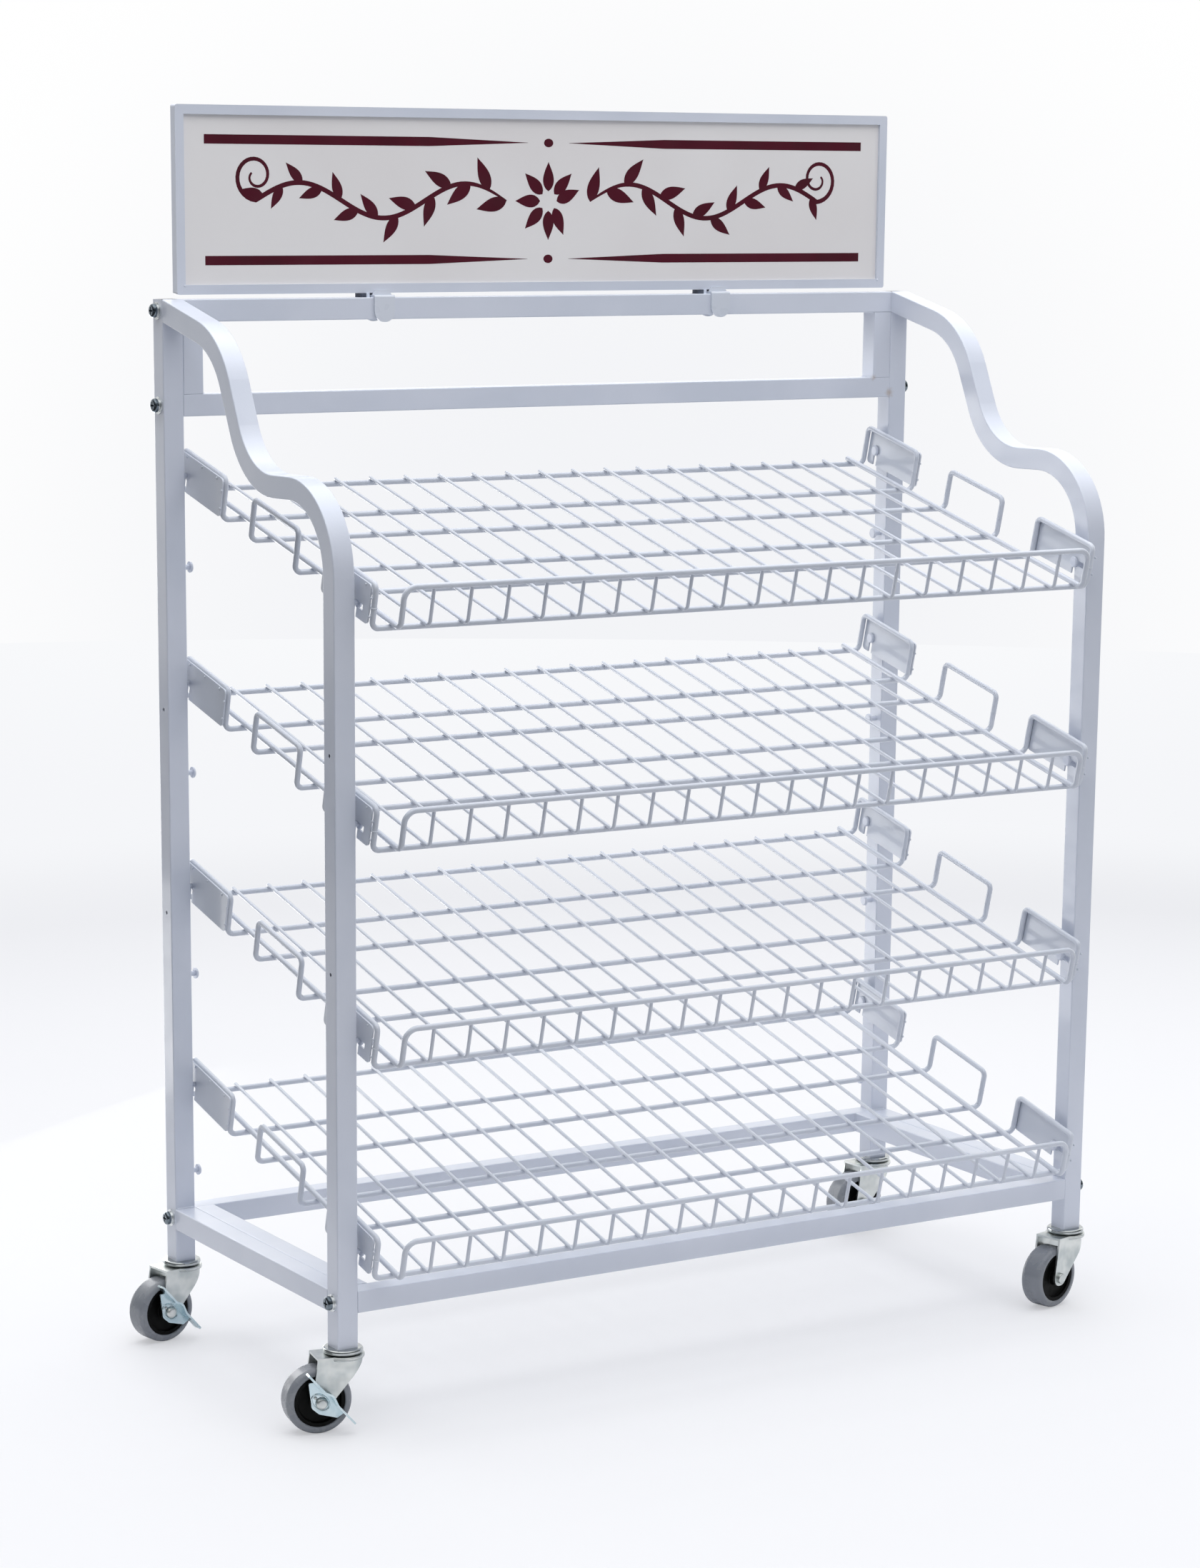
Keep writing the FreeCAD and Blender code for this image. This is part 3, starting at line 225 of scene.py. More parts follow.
# %% [markdown]
# ## Powder coat
#
# The tubes, clips and shelves are sprayed with a pale blue-white powder and baked. The skin
# that this leaves is smooth and half glossy, with a faint orange peel about 2 mm across, and
# it is a little thinner and cooler here and there. Where the back frame was welded after a
# first coat, the heat tinted it light brown. The peel is a bump from noise, because its
# height, a few hundredths of a millimetre, only ever shows in the reflections.

# %% Powder coat
COAT_DRIFT = 0.16
SMEAR_SIZE = 0.03
GLOSS_DRIFT = 0.09
PEEL_SIZE = 0.0022
PEEL_GRAIN = 0.0006
PEEL_DEPTH = 0.00005
SCORCH_GRAIN = 0.004
SCORCH_RISE = 0.006
CORNER_SCORCH = 0.010
INNER_SCORCH = 0.006


def powder_coat(name, roughness, scorched=(), full=POWDER_COAT, thin=POWDER_COAT_THIN):
    finish = Finish(name, Specular_IOR_Level=0.5, Coat_Roughness=0.10)
    cloud = finish.spread(finish.noise(COAT_DRIFT, 3.0), 0.0, 1.0)
    colour = finish.blend(cloud, full, thin)
    for point, reach in scorched:
        ragged = finish.distance(finish.place, point) + finish.noise(SCORCH_GRAIN, 3.0) * reach
        tint = finish.spread(ragged, 0.55, 0.0, reach * 0.3, reach * 1.4)
        colour = finish.blend(tint, colour, SCORCH)
    finish.put("Base Color", colour)
    smear = finish.noise(SMEAR_SIZE)
    finish.put("Roughness", finish.spread(smear, roughness - 0.05, roughness + 0.06))
    finish.put("Coat Weight", finish.spread(finish.noise(GLOSS_DRIFT), 0.40, 0.60))
    peel = finish.noise(PEEL_SIZE, 1.0) + finish.noise(PEEL_GRAIN, 1.0) * 0.25
    finish.bump(peel, PEEL_DEPTH)
    return finish.material


stile_low, stile_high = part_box("back_right_stile")
rail_low, rail_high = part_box("back_lower_rail")
weld_corner = Vector((stile_high.x, rail_low.y, rail_low.z + SCORCH_RISE))
weld_inner = Vector((stile_low.x, rail_low.y, rail_high.z))
scorch_marks = ((weld_corner, CORNER_SCORCH), (weld_inner, INNER_SCORCH))
frame_paint = powder_coat("frame_paint", 0.34, scorch_marks)
# Painted shade: the shelves get the darkened copy of the coat.
shelf_paint = powder_coat("shelf_paint", 0.36, (), SHELF_COAT_SHADED, SHELF_COAT_THIN_SHADED)
sign_frame_paint = powder_coat("sign_frame_paint", 0.36)
# Painted highlight: the clips get the lightened copy of the coat.
clip_paint = powder_coat("clip_paint", 0.32, (), CLIP_COAT_LIT, CLIP_COAT_THIN_LIT)
print("powder coats:", frame_paint.name, shelf_paint.name, sign_frame_paint.name)

# %% [markdown]
# ## Bright metal
#
# Bolts, cups and forks are plated steel, each plated differently: the bolts and nuts polished and
# painted dark, a painted reflection of the dim studio that their heads face, their washers pale
# and satin, the cups nearly mirror bright, the forks satin, the brake levers with a blue
# passivation. All are metals with the same pattern: a slow drift of tint over the piece, a finer
# drift of roughness, and a grain that the plating shows close up. One function with a few
# arguments makes them all.

# %% Plated metals


def plated(name, light, tinted, roughness, drift, grain, grain_depth):
    finish = Finish(name, Metallic=1.0)
    cloud = finish.spread(finish.noise(drift, 2.0), 0.0, 1.0, 0.30, 0.70)
    finish.put("Base Color", finish.blend(cloud, light, tinted))
    smear = finish.noise(drift * 0.6, 3.0)
    finish.put("Roughness", finish.spread(smear, roughness * 0.85, roughness * 1.2))
    finish.bump(finish.noise(grain, 2.0), grain_depth)
    return finish.material


# Painted reflection: the plating of the bolts and nuts is darkened to stand for the dark studio that their heads
# reflect.
bolt_zinc = plated(
    "bolt_zinc", paint_chip(126, 136, 143), paint_chip(96, 106, 114),
    roughness=0.14, drift=0.006, grain=0.0005, grain_depth=0.00001,
)
washer_zinc = plated(
    "washer_zinc", paint_chip(240, 242, 242), paint_chip(220, 224, 226),
    roughness=0.34, drift=0.006, grain=0.0005, grain_depth=0.00001,
)
cup_chrome = plated(
    "cup_chrome", paint_chip(192, 196, 195), paint_chip(172, 177, 178),
    roughness=0.09, drift=0.012, grain=0.0004, grain_depth=0.000004,
)
fork_zinc = plated(
    "fork_zinc", paint_chip(220, 223, 220), paint_chip(186, 193, 193),
    roughness=0.34, drift=0.022, grain=0.0007, grain_depth=0.000012,
)
brake_zinc = plated(
    "brake_zinc", paint_chip(210, 224, 228), paint_chip(186, 207, 214),
    roughness=0.24, drift=0.020, grain=0.0006, grain_depth=0.00001,
)
print("plated metals:", bolt_zinc.name, cup_chrome.name, fork_zinc.name, brake_zinc.name)

# %% [markdown]
# ## Plastics, rubber and the sign's sheet
#
# The wheel's tread is a grey polyurethane that picks up dust as it rolls, the hub a black
# moulded nylon, and the sign's sheet a smooth, glossy off-white plastic. The sheet gets
# hardly any texture at all, because its gloss is what tells it apart from the painted frame.
# The two rubber pads under the sign are dark up to a line and pale beyond it, measured from
# the pad's own left edge.

# %% Moulded and cast finishes
SHEET_HAZE = 0.25
SHEET_WAVE = 0.09
SHEET_WAVE_DEPTH = 0.00008
PAD_WIDTH = 0.0115
PAD_DARK = 0.0068
PALE_EDGE_BLUR = 0.0004


def moulded(name, colour, worn, roughness, drift, grain, grain_depth, gloss=0.5):
    finish = Finish(name, Specular_IOR_Level=gloss)
    cloud = finish.spread(finish.noise(drift, 4.0), 0.0, 1.0, 0.4, 0.7)
    finish.put("Base Color", finish.blend(cloud, colour, worn))
    smear = finish.noise(drift * 0.5)
    finish.put("Roughness", finish.spread(smear, roughness - 0.06, roughness + 0.08))
    finish.bump(finish.noise(grain, 2.0), grain_depth)
    return finish.material


def sheet_plastic():
    finish = Finish("sign_sheet", Specular_IOR_Level=0.55, Coat_Roughness=0.03)
    haze = finish.spread(finish.noise(SHEET_HAZE, 2.0), 0.0, 1.0)
    colour = finish.blend(haze, paint_chip(238, 236, 236), paint_chip(234, 231, 231))
    finish.put("Base Color", colour)
    finish.put("Roughness", finish.spread(finish.noise(0.06), 0.16, 0.22))
    finish.put("Coat Weight", finish.spread(finish.noise(0.12), 0.45, 0.6))
    finish.bump(finish.noise(SHEET_WAVE, 1.0), SHEET_WAVE_DEPTH)
    return finish.material


def dark_then_pale_pad():
    """A dark pad under the sign that turns pale beyond a line measured from its own left edge."""
    finish = Finish("pad_rubber", Roughness=0.6)
    low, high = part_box("sign_pads")
    across = finish.box("ShaderNodeSeparateXYZ", inputs={"Vector": finish.place})
    middle = (low.x + high.x) / 2
    on_right = finish.math("GREATER_THAN", across, middle)
    along = across - low.x - on_right * (high.x - PAD_WIDTH - low.x)
    cloud = finish.spread(finish.noise(0.006), 0.0, 1.0)
    dark = finish.blend(cloud, paint_chip(62, 68, 84), paint_chip(82, 88, 102))
    pale_share = finish.spread(along, 0.0, 1.0, PAD_DARK - PALE_EDGE_BLUR, PAD_DARK + PALE_EDGE_BLUR)
    finish.put("Base Color", finish.blend(pale_share, dark, paint_chip(214, 222, 236)))
    finish.bump(finish.noise(0.0005), 0.00006)
    return finish.material


tread_rubber = moulded(
    "tread_rubber", paint_chip(128, 132, 139), paint_chip(136, 140, 145),
    roughness=0.24, drift=0.03, grain=0.0007, grain_depth=0.000004,
)
hub_plastic = moulded(
    "hub_plastic", paint_chip(5, 6, 5), paint_chip(10, 11, 10),
    roughness=0.5, drift=0.01, grain=0.0006, grain_depth=0.00002, gloss=0.12,
)
inner_plastic = moulded(
    "inner_plastic", paint_chip(48, 49, 52), paint_chip(60, 61, 64),
    roughness=0.5, drift=0.01, grain=0.0006, grain_depth=0.00005,
)
vinyl = moulded(
    "maroon_vinyl", paint_chip(80, 14, 34), paint_chip(70, 10, 28),
    roughness=0.35, drift=0.05, grain=0.002, grain_depth=0.000002, gloss=0.3,
)
pad_rubber = dark_then_pale_pad()
sign_sheet = sheet_plastic()
print("moulded finishes:", tread_rubber.name, hub_plastic.name, sign_sheet.name, vinyl.name)

# %% [markdown]
# ## Give the construction its finishes
#
# The record of the part names a material slot for each node, such as `frame_paint` or
# `tread_rubber`. A table from slot to finish is all that is needed, and a node whose slot is
# missing would show at once as an error rather than as a grey patch.

# %% Assign the finishes
FINISH_OF_SLOT = {
    "frame_paint": frame_paint,
    "shelf_paint": shelf_paint,
    "clip_paint": clip_paint,
    "sign_frame_metal": sign_frame_paint,
    "sign_sheet": sign_sheet,
    "bolt_zinc": bolt_zinc,
    "nut_zinc": bolt_zinc,
    "inner_plastic": inner_plastic,
    "cap_plastic": inner_plastic,
    "pad_rubber": pad_rubber,
    "caster_chrome": cup_chrome,
    "caster_zinc": fork_zinc,
    "brake_zinc": brake_zinc,
    "hub_plastic": hub_plastic,
    "tread_rubber": tread_rubber,
}
SLOT_OF = {entry["node"]: entry["material_slot"] for entry in frame["record"]["subparts"]}
FINISH_OF_NODE = {"spring_washers": washer_zinc, "flat_washers": washer_zinc}
for name, node in nodes.items():
    node.data.materials.clear()
    node.data.materials.append(FINISH_OF_NODE.get(name, FINISH_OF_SLOT[SLOT_OF[name]]))
print(len(SLOT_OF), "nodes finished from", len(FINISH_OF_SLOT), "slots")

# %% [markdown]
# ## Geometry Nodes, written in Python
#
# Wires, welds and leaves all repeat, or follow a path. A Geometry Nodes tree can make them
# from a few named sizes, and the same tree can be run again with other sizes. `GeometryBoard`
# adds the named inputs and the closing pair of nodes, Realize Instances and Set Material.
# `run` feeds the tree a small mesh of points, keeps what comes out as a plain mesh, takes the
# modifier away and lets the piece ride its body.

# %% A board for geometry


class GeometryBoard(Board):
    """A Geometry Nodes tree whose first input is a mesh of points or a path."""

    def __init__(self, name, **sizes):
        super().__init__(bpy.data.node_groups.new(name, "GeometryNodeTree"))
        sockets = self.tree.interface
        sockets.new_socket("Geometry", in_out="INPUT", socket_type="NodeSocketGeometry")
        sockets.new_socket("Geometry", in_out="OUTPUT", socket_type="NodeSocketGeometry")
        for label, value in sizes.items():
            kind = "NodeSocketInt" if isinstance(value, int) else "NodeSocketFloat"
            socket = sockets.new_socket(label, in_out="INPUT", socket_type=kind)
            socket.default_value = value
        finish = sockets.new_socket("Finish", in_out="INPUT", socket_type="NodeSocketMaterial")
        self.start = self.tree.nodes.new("NodeGroupInput")
        self.identifiers = {"Finish": finish.identifier}
        for item in sockets.items_tree:
            if item.in_out == "INPUT":
                self.identifiers[item.name] = item.identifier

    def size(self, label):
        return Wire(self, self.start.outputs[label])

    def named(self, attribute):
        """A number that the points of the path carry."""
        return self.box(
            "GeometryNodeInputNamedAttribute", {"data_type": "FLOAT"}, {"Name": attribute}
        )

    def close(self, geometry, smooth=True):
        """Ends the tree with real geometry in one material."""
        real = self.box("GeometryNodeRealizeInstances", inputs={"Geometry": geometry})
        shaded = self.box(
            "GeometryNodeSetShadeSmooth", inputs={"Geometry": real, "Shade Smooth": smooth}
        )
        done = self.box(
            "GeometryNodeSetMaterial", inputs={"Geometry": shaded, "Material": self.size("Finish")}
        )
        end = self.tree.nodes.new("NodeGroupOutput")
        self.tree.links.new(done.socket, end.inputs[0])


def skeleton(name, strips, **numbers):
    """A mesh of points joined in strips; each further list gives one number for each point."""
    points = [point for strip in strips for point in strip]
    edges = []
    start = 0
    for strip in strips:
        edges += [(start + step, start + step + 1) for step in range(len(strip) - 1)]
        start += len(strip)
    mesh = bpy.data.meshes.new(name)
    mesh.from_pydata(points, edges, [])
    for label, values in numbers.items():
        attribute = mesh.attributes.new(label, "FLOAT", "POINT")
        attribute.data.foreach_set("value", values)
    return mesh


def run(board, mesh, finish, **sizes):
    """Runs a tree on a skeleton and gives back the mesh that it makes."""
    maker = bpy.data.objects.new("maker", mesh)
    scene.collection.objects.link(maker)
    modifier = maker.modifiers.new("tree", "NODES")
    modifier.node_group = board.tree
    modifier[board.identifiers["Finish"]] = finish
    for label, value in sizes.items():
        modifier[board.identifiers[label]] = value
    graph = bpy.context.evaluated_depsgraph_get()
    made = bpy.data.meshes.new_from_object(maker.evaluated_get(graph), depsgraph=graph)
    maker.modifiers.remove(modifier)
    bpy.data.objects.remove(maker)
    return made


def settle(name, mesh, body, replaced=()):
    """Makes a finished mesh a piece of the rack."""
    mesh.name = name
    piece = bpy.data.objects.new(name, mesh)
    scene.collection.objects.link(piece)
    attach(piece, body)
    if replaced:
        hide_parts(*replaced)
    print(name, len(mesh.polygons), "faces")


print("geometry board ready")

# %% [markdown]
# ## Where a shelf hangs
#
# Each shelf is one flat grid of welded wire, tilted so that its back hangs higher. It is
# easiest to draw it level, measured forward from the rear wire and up from its centre, and to
# tilt it at the end. The box of the ring node gives where the rear wire is.

# %% The frame of a shelf
SHELF_TILT = math.radians(13.697)
RING_WIRE = 0.0065
CROSS_WIRE = 0.0043
RING_DEPTH = 0.110
RING_STEP = 0.1835
RING_COUNT = 3
LAST_WIRE = RING_STEP * (RING_COUNT - 1) + RING_DEPTH
SHELF_COUNT = 4


def shelf_frame(number):
    """The turn and shift that carry a shelf from its level drawing to where it hangs."""
    low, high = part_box(f"shelf_{number}_rings")
    rear_y = high.y - RING_WIRE / 2
    rear_z = low.z + RING_WIRE / 2 + LAST_WIRE * math.sin(SHELF_TILT)
    return Matrix.Translation((0, rear_y, rear_z)) @ Matrix.Rotation(SHELF_TILT, 4, "X")


shelf_frames = {number: shelf_frame(number) for number in range(1, SHELF_COUNT + 1)}
for number, placed in shelf_frames.items():
    print("shelf", number, "rear wire at", [round(value, 4) for value in placed.translation])

# %% [markdown]
# ## Bent wire
#
# A wire shelf is steel rod bent in a jig. In the construction its bends are true arcs, but
# they arrive here as flat facets. Drawing the rod again as a tube along a filleted path gives
# the same shape with a skin that catches light evenly. The path's corners carry two numbers:
# `bend`, the radius of the jig, and `girth`, the share of the full thickness, which lets a
# cut end close as a small dome. With a Count above one, the tree repeats the wire sideways.

# %% The wire tree


def wire_tree():
    board = GeometryBoard("bent_wire", Radius=0.003, Sides=14, Steps=7, Count=1, Pitch=0.0)
    path = board.box("GeometryNodeMeshToCurve", inputs={"Mesh": board.size("Geometry")})
    bent = board.box(
        "GeometryNodeFilletCurve",
        {"mode": "POLY"},
        {"Curve": path, "Radius": board.named("bend"), "Count": board.size("Steps")},
    )
    section = board.box(
        "GeometryNodeCurvePrimitiveCircle",
        inputs={"Resolution": board.size("Sides"), "Radius": board.size("Radius")},
    )
    rod = board.box(
        "GeometryNodeCurveToMesh",
        inputs={
            "Curve": bent, "Profile Curve": section, "Fill Caps": True,
            "Scale": board.named("girth"),
        },
    )
    step = board.box("ShaderNodeCombineXYZ", inputs={"X": board.size("Pitch")})
    row = board.box("GeometryNodeMeshLine", inputs={"Count": board.size("Count"), "Offset": step})
    rods = board.box("GeometryNodeInstanceOnPoints", inputs={"Points": row, "Instance": rod})
    board.close(rods)
    return board


bent_wire = wire_tree()
print("wire tree inputs:", list(bent_wire.identifiers))

# %% [markdown]
# ## The thin wires of each shelf
#
# Nineteen thin wires lie across the thick ones from back to front and turn up behind the
# lip. The one path is drawn at the first wire's place, and the tree lays out the row. The
# back end, which sticks out past the rear wire, closes in a dome of three shrinking rings.

# %% Cross wires
CROSS_COUNT = 19
CROSS_PITCH = 0.0468
CROSS_LEVEL = RING_WIRE / 2 + CROSS_WIRE / 2
CROSS_OVERHANG = 0.0035
CROSS_BEND = 0.006
LIP_DEPTH = 0.4982
LIP_RISE = 0.046
LIP_LEVEL = RING_WIRE + LIP_RISE
UPRIGHT_DEPTH = LIP_DEPTH - RING_WIRE / 2 - CROSS_WIRE / 2
FIRST_CROSS = -CROSS_PITCH * (CROSS_COUNT - 1) / 2
DOME = ((0.0, 0.30), (0.12, 0.62), (0.38, 0.90), (0.80, 1.0))


def dome_points(end, toward):
    """Points and girths that close a wire's end, from its tip inward."""
    return [(end + toward * (depth * CROSS_WIRE / 2), girth) for depth, girth in DOME]


def cross_wire_path():
    along = Vector((0, -1, 0))
    upward = Vector((0, 0, -1))
    rear_end = Vector((FIRST_CROSS, CROSS_OVERHANG, CROSS_LEVEL))
    corner = Vector((FIRST_CROSS, -UPRIGHT_DEPTH, CROSS_LEVEL))
    top_end = Vector((FIRST_CROSS, -UPRIGHT_DEPTH, LIP_LEVEL))
    marks = dome_points(rear_end, along) + [(corner, 1.0)] + dome_points(top_end, upward)[::-1]
    points = [point for point, _ in marks]
    girths = [girth for _, girth in marks]
    bends = [CROSS_BEND if point == corner else 0.0 for point in points]
    return points, bends, girths


for number, placed in shelf_frames.items():
    points, bends, girths = cross_wire_path()
    path = skeleton("cross_wire_path", [points], bend=bends, girth=girths)
    made = run(
        bent_wire, path, shelf_paint,
        Radius=CROSS_WIRE / 2, Sides=12, Steps=6, Count=CROSS_COUNT, Pitch=CROSS_PITCH,
    )
    made.transform(placed)
    settle(
        f"shelf_{number}_thin_wires", made, f"shelf_{number}",
        [f"shelf_{number}_cross_wires"],
    )

# %% [markdown]
# ## Spot welds
#
# Wherever a thin wire lies on a thick one, a jolt of current has fused the two and squeezed
# out a little bead on both sides. A tree sets one small flattened ball on every crossing,
# each turned and sized a little differently from a fixed seed. Hundreds of copies are
# needed, so the ball has only a few dozen faces and smooth shading does the rest. A Random
# Value box keeps several pairs of ends under the same names, so its ends go by number.

# %% The bead tree
BEAD_SEED = 7
BEAD_SEGMENTS = 8
BEAD_RINGS = 6


def bead_tree():
    board = GeometryBoard("beads", Radius=0.002, Squash=0.45, Stretch=1.2, Turn=0.3, Spread=0.15)
    ball = board.box(
        "GeometryNodeMeshUVSphere",
        inputs={"Segments": BEAD_SEGMENTS, "Rings": BEAD_RINGS, "Radius": board.size("Radius")},
    )
    shape = board.box(
        "ShaderNodeCombineXYZ",
        inputs={"X": board.size("Stretch"), "Y": 1.0, "Z": board.size("Squash")},
    )
    bead = board.box("GeometryNodeTransform", inputs={"Geometry": ball, "Scale": shape})
    turn = board.box(
        "FunctionNodeRandomValue", {"data_type": "FLOAT"},
        {2: board.size("Turn") * -1.0, 3: board.size("Turn"), "Seed": BEAD_SEED}, 1,
    )
    about = board.box("ShaderNodeCombineXYZ", inputs={"Z": turn})
    size = board.box(
        "FunctionNodeRandomValue", {"data_type": "FLOAT"},
        {2: 1.0 - board.size("Spread"), 3: board.size("Spread") + 1.0, "Seed": BEAD_SEED + 1}, 1,
    )
    beads = board.box(
        "GeometryNodeInstanceOnPoints",
        inputs={
            "Points": board.size("Geometry"), "Instance": bead, "Rotation": about, "Scale": size,
        },
    )
    board.close(beads)
    return board


def weld_shelves(label, points, **sizes):
    """Sets beads at the same places of each shelf, given on its level drawing."""
    for number, placed in shelf_frames.items():
        made = run(beads, skeleton(label, [[point] for point in points]), shelf_paint, **sizes)
        made.transform(placed)
        settle(f"shelf_{number}_{label}", made, f"shelf_{number}")


beads = bead_tree()
RIM_X = 0.4597
RING_ROWS = [RING_STEP * ring + depth for ring in range(RING_COUNT) for depth in (0, RING_DEPTH)]
columns = [FIRST_CROSS + CROSS_PITCH * wire for wire in range(CROSS_COUNT)]
crossings = [
    Vector((x, -row, RING_WIRE / 2)) for row in RING_ROWS for x in columns + [-RIM_X, RIM_X]
]
lip_contact = (UPRIGHT_DEPTH + LIP_DEPTH) / 2
crossings += [Vector((x, -lip_contact, LIP_LEVEL)) for x in columns]
weld_shelves("spot_welds", crossings, Radius=0.0024, Squash=0.5, Stretch=1.25)

# %% [markdown]
# ## Welds of the hook plates and rings
#
# The hook plates are tacked to the rings along their upper edge and their front edge, and
# each ring is closed by a butt weld halfway up the front leg of an ear. The same bead tree
# does both, with rounder and larger drops.

# %% Plate and ring welds
PLATE_FACE = 0.48785
PLATE_STARTS = (0.0, 0.367)
PLATE_TACKS = ((0.018, 0.0455), (0.058, 0.0455), (0.097, 0.0455), (0.1115, 0.035), (0.1115, 0.014))
EAR_X = 0.4826
BUTT_LEVEL = 0.023
BUTT_PROUD = 0.0005

tacks = [
    Vector((side * PLATE_FACE, -(start + depth), level))
    for side in (-1, 1) for start in PLATE_STARTS for depth, level in PLATE_TACKS
]
butts = [
    Vector((side * EAR_X, -(RING_STEP * ring + RING_DEPTH), BUTT_LEVEL))
    for side in (-1, 1) for ring in range(RING_COUNT)
]
weld_shelves("plate_welds", tacks, Radius=0.0016, Squash=1.0, Stretch=0.9)
weld_shelves("ring_welds", butts, Radius=RING_WIRE / 2 + BUTT_PROUD, Squash=0.35, Stretch=1.0)

# %% [markdown]
# ## The pressed rim of a brake
#
# The press that cuts a brake lever also raises a narrow oval rim around its nut and leaves a
# small domed pin beside it. The rim is one more bent wire, half sunk in the lever's outer
# face; the pin is a single bead. Both are drawn flat, across and up as seen from outside, and
# stood on the lever with the direction of its axle, which the record of the joints gives. A
# ring of wire closes because its last two marks lie on its first two.

# %% Brake rim and pin
BRAKE_FACE = 0.02085
RIM_LONG = 0.0116
RIM_SHORT = 0.0080
RIM_LEAN = math.radians(-42)
RIM_SHIFT = Vector((-0.0014, 0.0012, 0))
RIM_WIRE = 0.0011
RIM_MARKS = 39
PIN_PLACE = Vector((-0.0070, 0.0068, 0))
PIN_RADIUS = 0.0024
OVERLAP = 2


def oval_marks(half_width, half_height, count, overlap=0):
    """Points at even steps around a flat oval, with more past the first to close it."""
    angles = [2 * math.pi * mark / count for mark in range(count + overlap)]
    return [
        Vector((half_width * math.cos(angle), half_height * math.sin(angle), 0))
        for angle in angles
    ]


def wire_ring(marks, finish, radius, sides):
    """A ring of wire of one thickness through its marks."""
    count = len(marks)
    path = skeleton("wire_ring", [marks], bend=[0.0] * count, girth=[1.0] * count)
    return run(bent_wire, path, finish, Radius=radius, Sides=sides, Steps=1)


lean = Matrix.Rotation(RIM_LEAN, 3, "Z")
rim_marks = [
    RIM_SHIFT + lean @ mark for mark in oval_marks(RIM_LONG, RIM_SHORT, RIM_MARKS, OVERLAP)
]
for joint in frame["joints"]:
    if not joint["name"].endswith("brake_press"):
        continue
    outward = Vector(joint["axis"])
    across = Vector((0, 0, 1)).cross(outward)
    face = Matrix((across, Vector((0, 0, 1)), outward)).transposed().to_4x4()
    face.translation = Vector(joint["pos_m"]) + outward * BRAKE_FACE
    made = wire_ring(rim_marks, brake_zinc, RIM_WIRE, sides=10)
    made.transform(face)
    lever = joint["child"]
    settle(f"{lever}_rim", made, lever)
    dot = skeleton("pin", [[PIN_PLACE]])
    made = run(beads, dot, cup_chrome, Radius=PIN_RADIUS, Squash=0.7, Stretch=1.0)
    made.transform(face)
    settle(f"{lever}_pin", made, lever)

# %% [markdown]
# ## The bearing race of a fork
#
# The crown of each fork is rolled over a row of balls, which leaves a round, bright bulge just
# below the cup. It is a ring of wire about the swivel's axis, so it may turn with the fork.

# %% Bearing races
RACE_RADIUS = 0.0226
RACE_WIRE = 0.0017
RACE_LEVEL = 0.0855
RACE_MARKS = 64

for joint in frame["joints"]:
    if not joint["name"].endswith("swivel_turn"):
        continue
    centre = Vector((joint["pos_m"][0], joint["pos_m"][1], RACE_LEVEL))
    circle = oval_marks(RACE_RADIUS, RACE_RADIUS, RACE_MARKS, OVERLAP)
    made = wire_ring([centre + mark for mark in circle], cup_chrome, RACE_WIRE, sides=12)
    settle(f"{joint['child']}_race", made, joint["child"])

# %% [markdown]
# ## The sign's cut vinyl
#
# The sign carries a film cut by a plotter: two pairs of tapered bars with a dot between, and
# a garland in place of any words. A ribbon tree sweeps a thin rectangle along a path drawn
# flat on the sheet, as wide at each point as the path's `width` says, so a bar, a dot and a
# stem are all the same tree. The film lies half in the sheet's skin, and a tenth of a
# millimetre of it stands proud.

# %% Flat ribbons
FILM_SHARE = 0.02
panel_low, panel_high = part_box("sign_panel")
SIGN_MIDDLE = (panel_low + panel_high) / 2
print("sign sheet", panel_high - panel_low, "middle", SIGN_MIDDLE)


def swept_ribbon(board, path, width):
    """Sweeps a flat rectangle of a changing width along a path."""
    section = board.box(
        "GeometryNodeCurvePrimitiveQuadrilateral", inputs={"Width": 1.0, "Height": FILM_SHARE}
    )
    return board.box(
        "GeometryNodeCurveToMesh",
        inputs={"Curve": path, "Profile Curve": section, "Fill Caps": True, "Scale": width},
    )


def ribbon_tree():
    board = GeometryBoard("ribbon")
    path = board.box("GeometryNodeMeshToCurve", inputs={"Mesh": board.size("Geometry")})
    board.close(swept_ribbon(board, path, board.named("width")), smooth=False)
    return board


def on_sign(mesh):
    """Stands a film that was drawn flat, across and up from the sign's middle, on its sheet."""
    upright = Matrix.Rotation(math.radians(90), 4, "X")
    mesh.transform(Matrix.Translation((SIGN_MIDDLE.x, panel_low.y, SIGN_MIDDLE.z)) @ upright)
    return mesh


ribbon = ribbon_tree()
print("ribbon tree inputs:", list(ribbon.identifiers))

# %% [markdown]
# ## Bars and dots
#
# Each bar is full width from its outer end to a shoulder and then runs out to a point beside
# the dot. A straight path with three marks says all of that. The dots are short ribbons too:
# a path across the dot whose width follows a half circle.

# %% Bars and dots
BAR_END = 0.455
BAR_SHOULDER = 0.163
BAR_POINT = 0.0285
BAR_WIDTH = 0.0105
BAR_HEIGHT = 0.0678
DOT_HALF_WIDTH = 0.0064
DOT_HALF_HEIGHT = 0.0050
POINT_WIDTH = 0.0003
DOT_MARKS = 17


def bars_and_dots():
    strips = []
    widths = []
    for level in (-BAR_HEIGHT, BAR_HEIGHT):
        for side in (-1, 1):
            strips.append([
                Vector((side * BAR_END, level, 0)),
                Vector((side * BAR_SHOULDER, level, 0)),
                Vector((side * BAR_POINT, level, 0)),
            ])
            widths += [BAR_WIDTH, BAR_WIDTH, POINT_WIDTH]
        angles = [math.pi * mark / (DOT_MARKS - 1) for mark in range(DOT_MARKS)]
        strips.append([Vector((-DOT_HALF_WIDTH * math.cos(a), level, 0)) for a in angles])
        widths += [max(POINT_WIDTH, 2 * DOT_HALF_HEIGHT * math.sin(a)) for a in angles]
    return skeleton("bar_paths", strips, width=widths)


settle("sign_bars", on_sign(run(ribbon, bars_and_dots(), vinyl)), "frame")

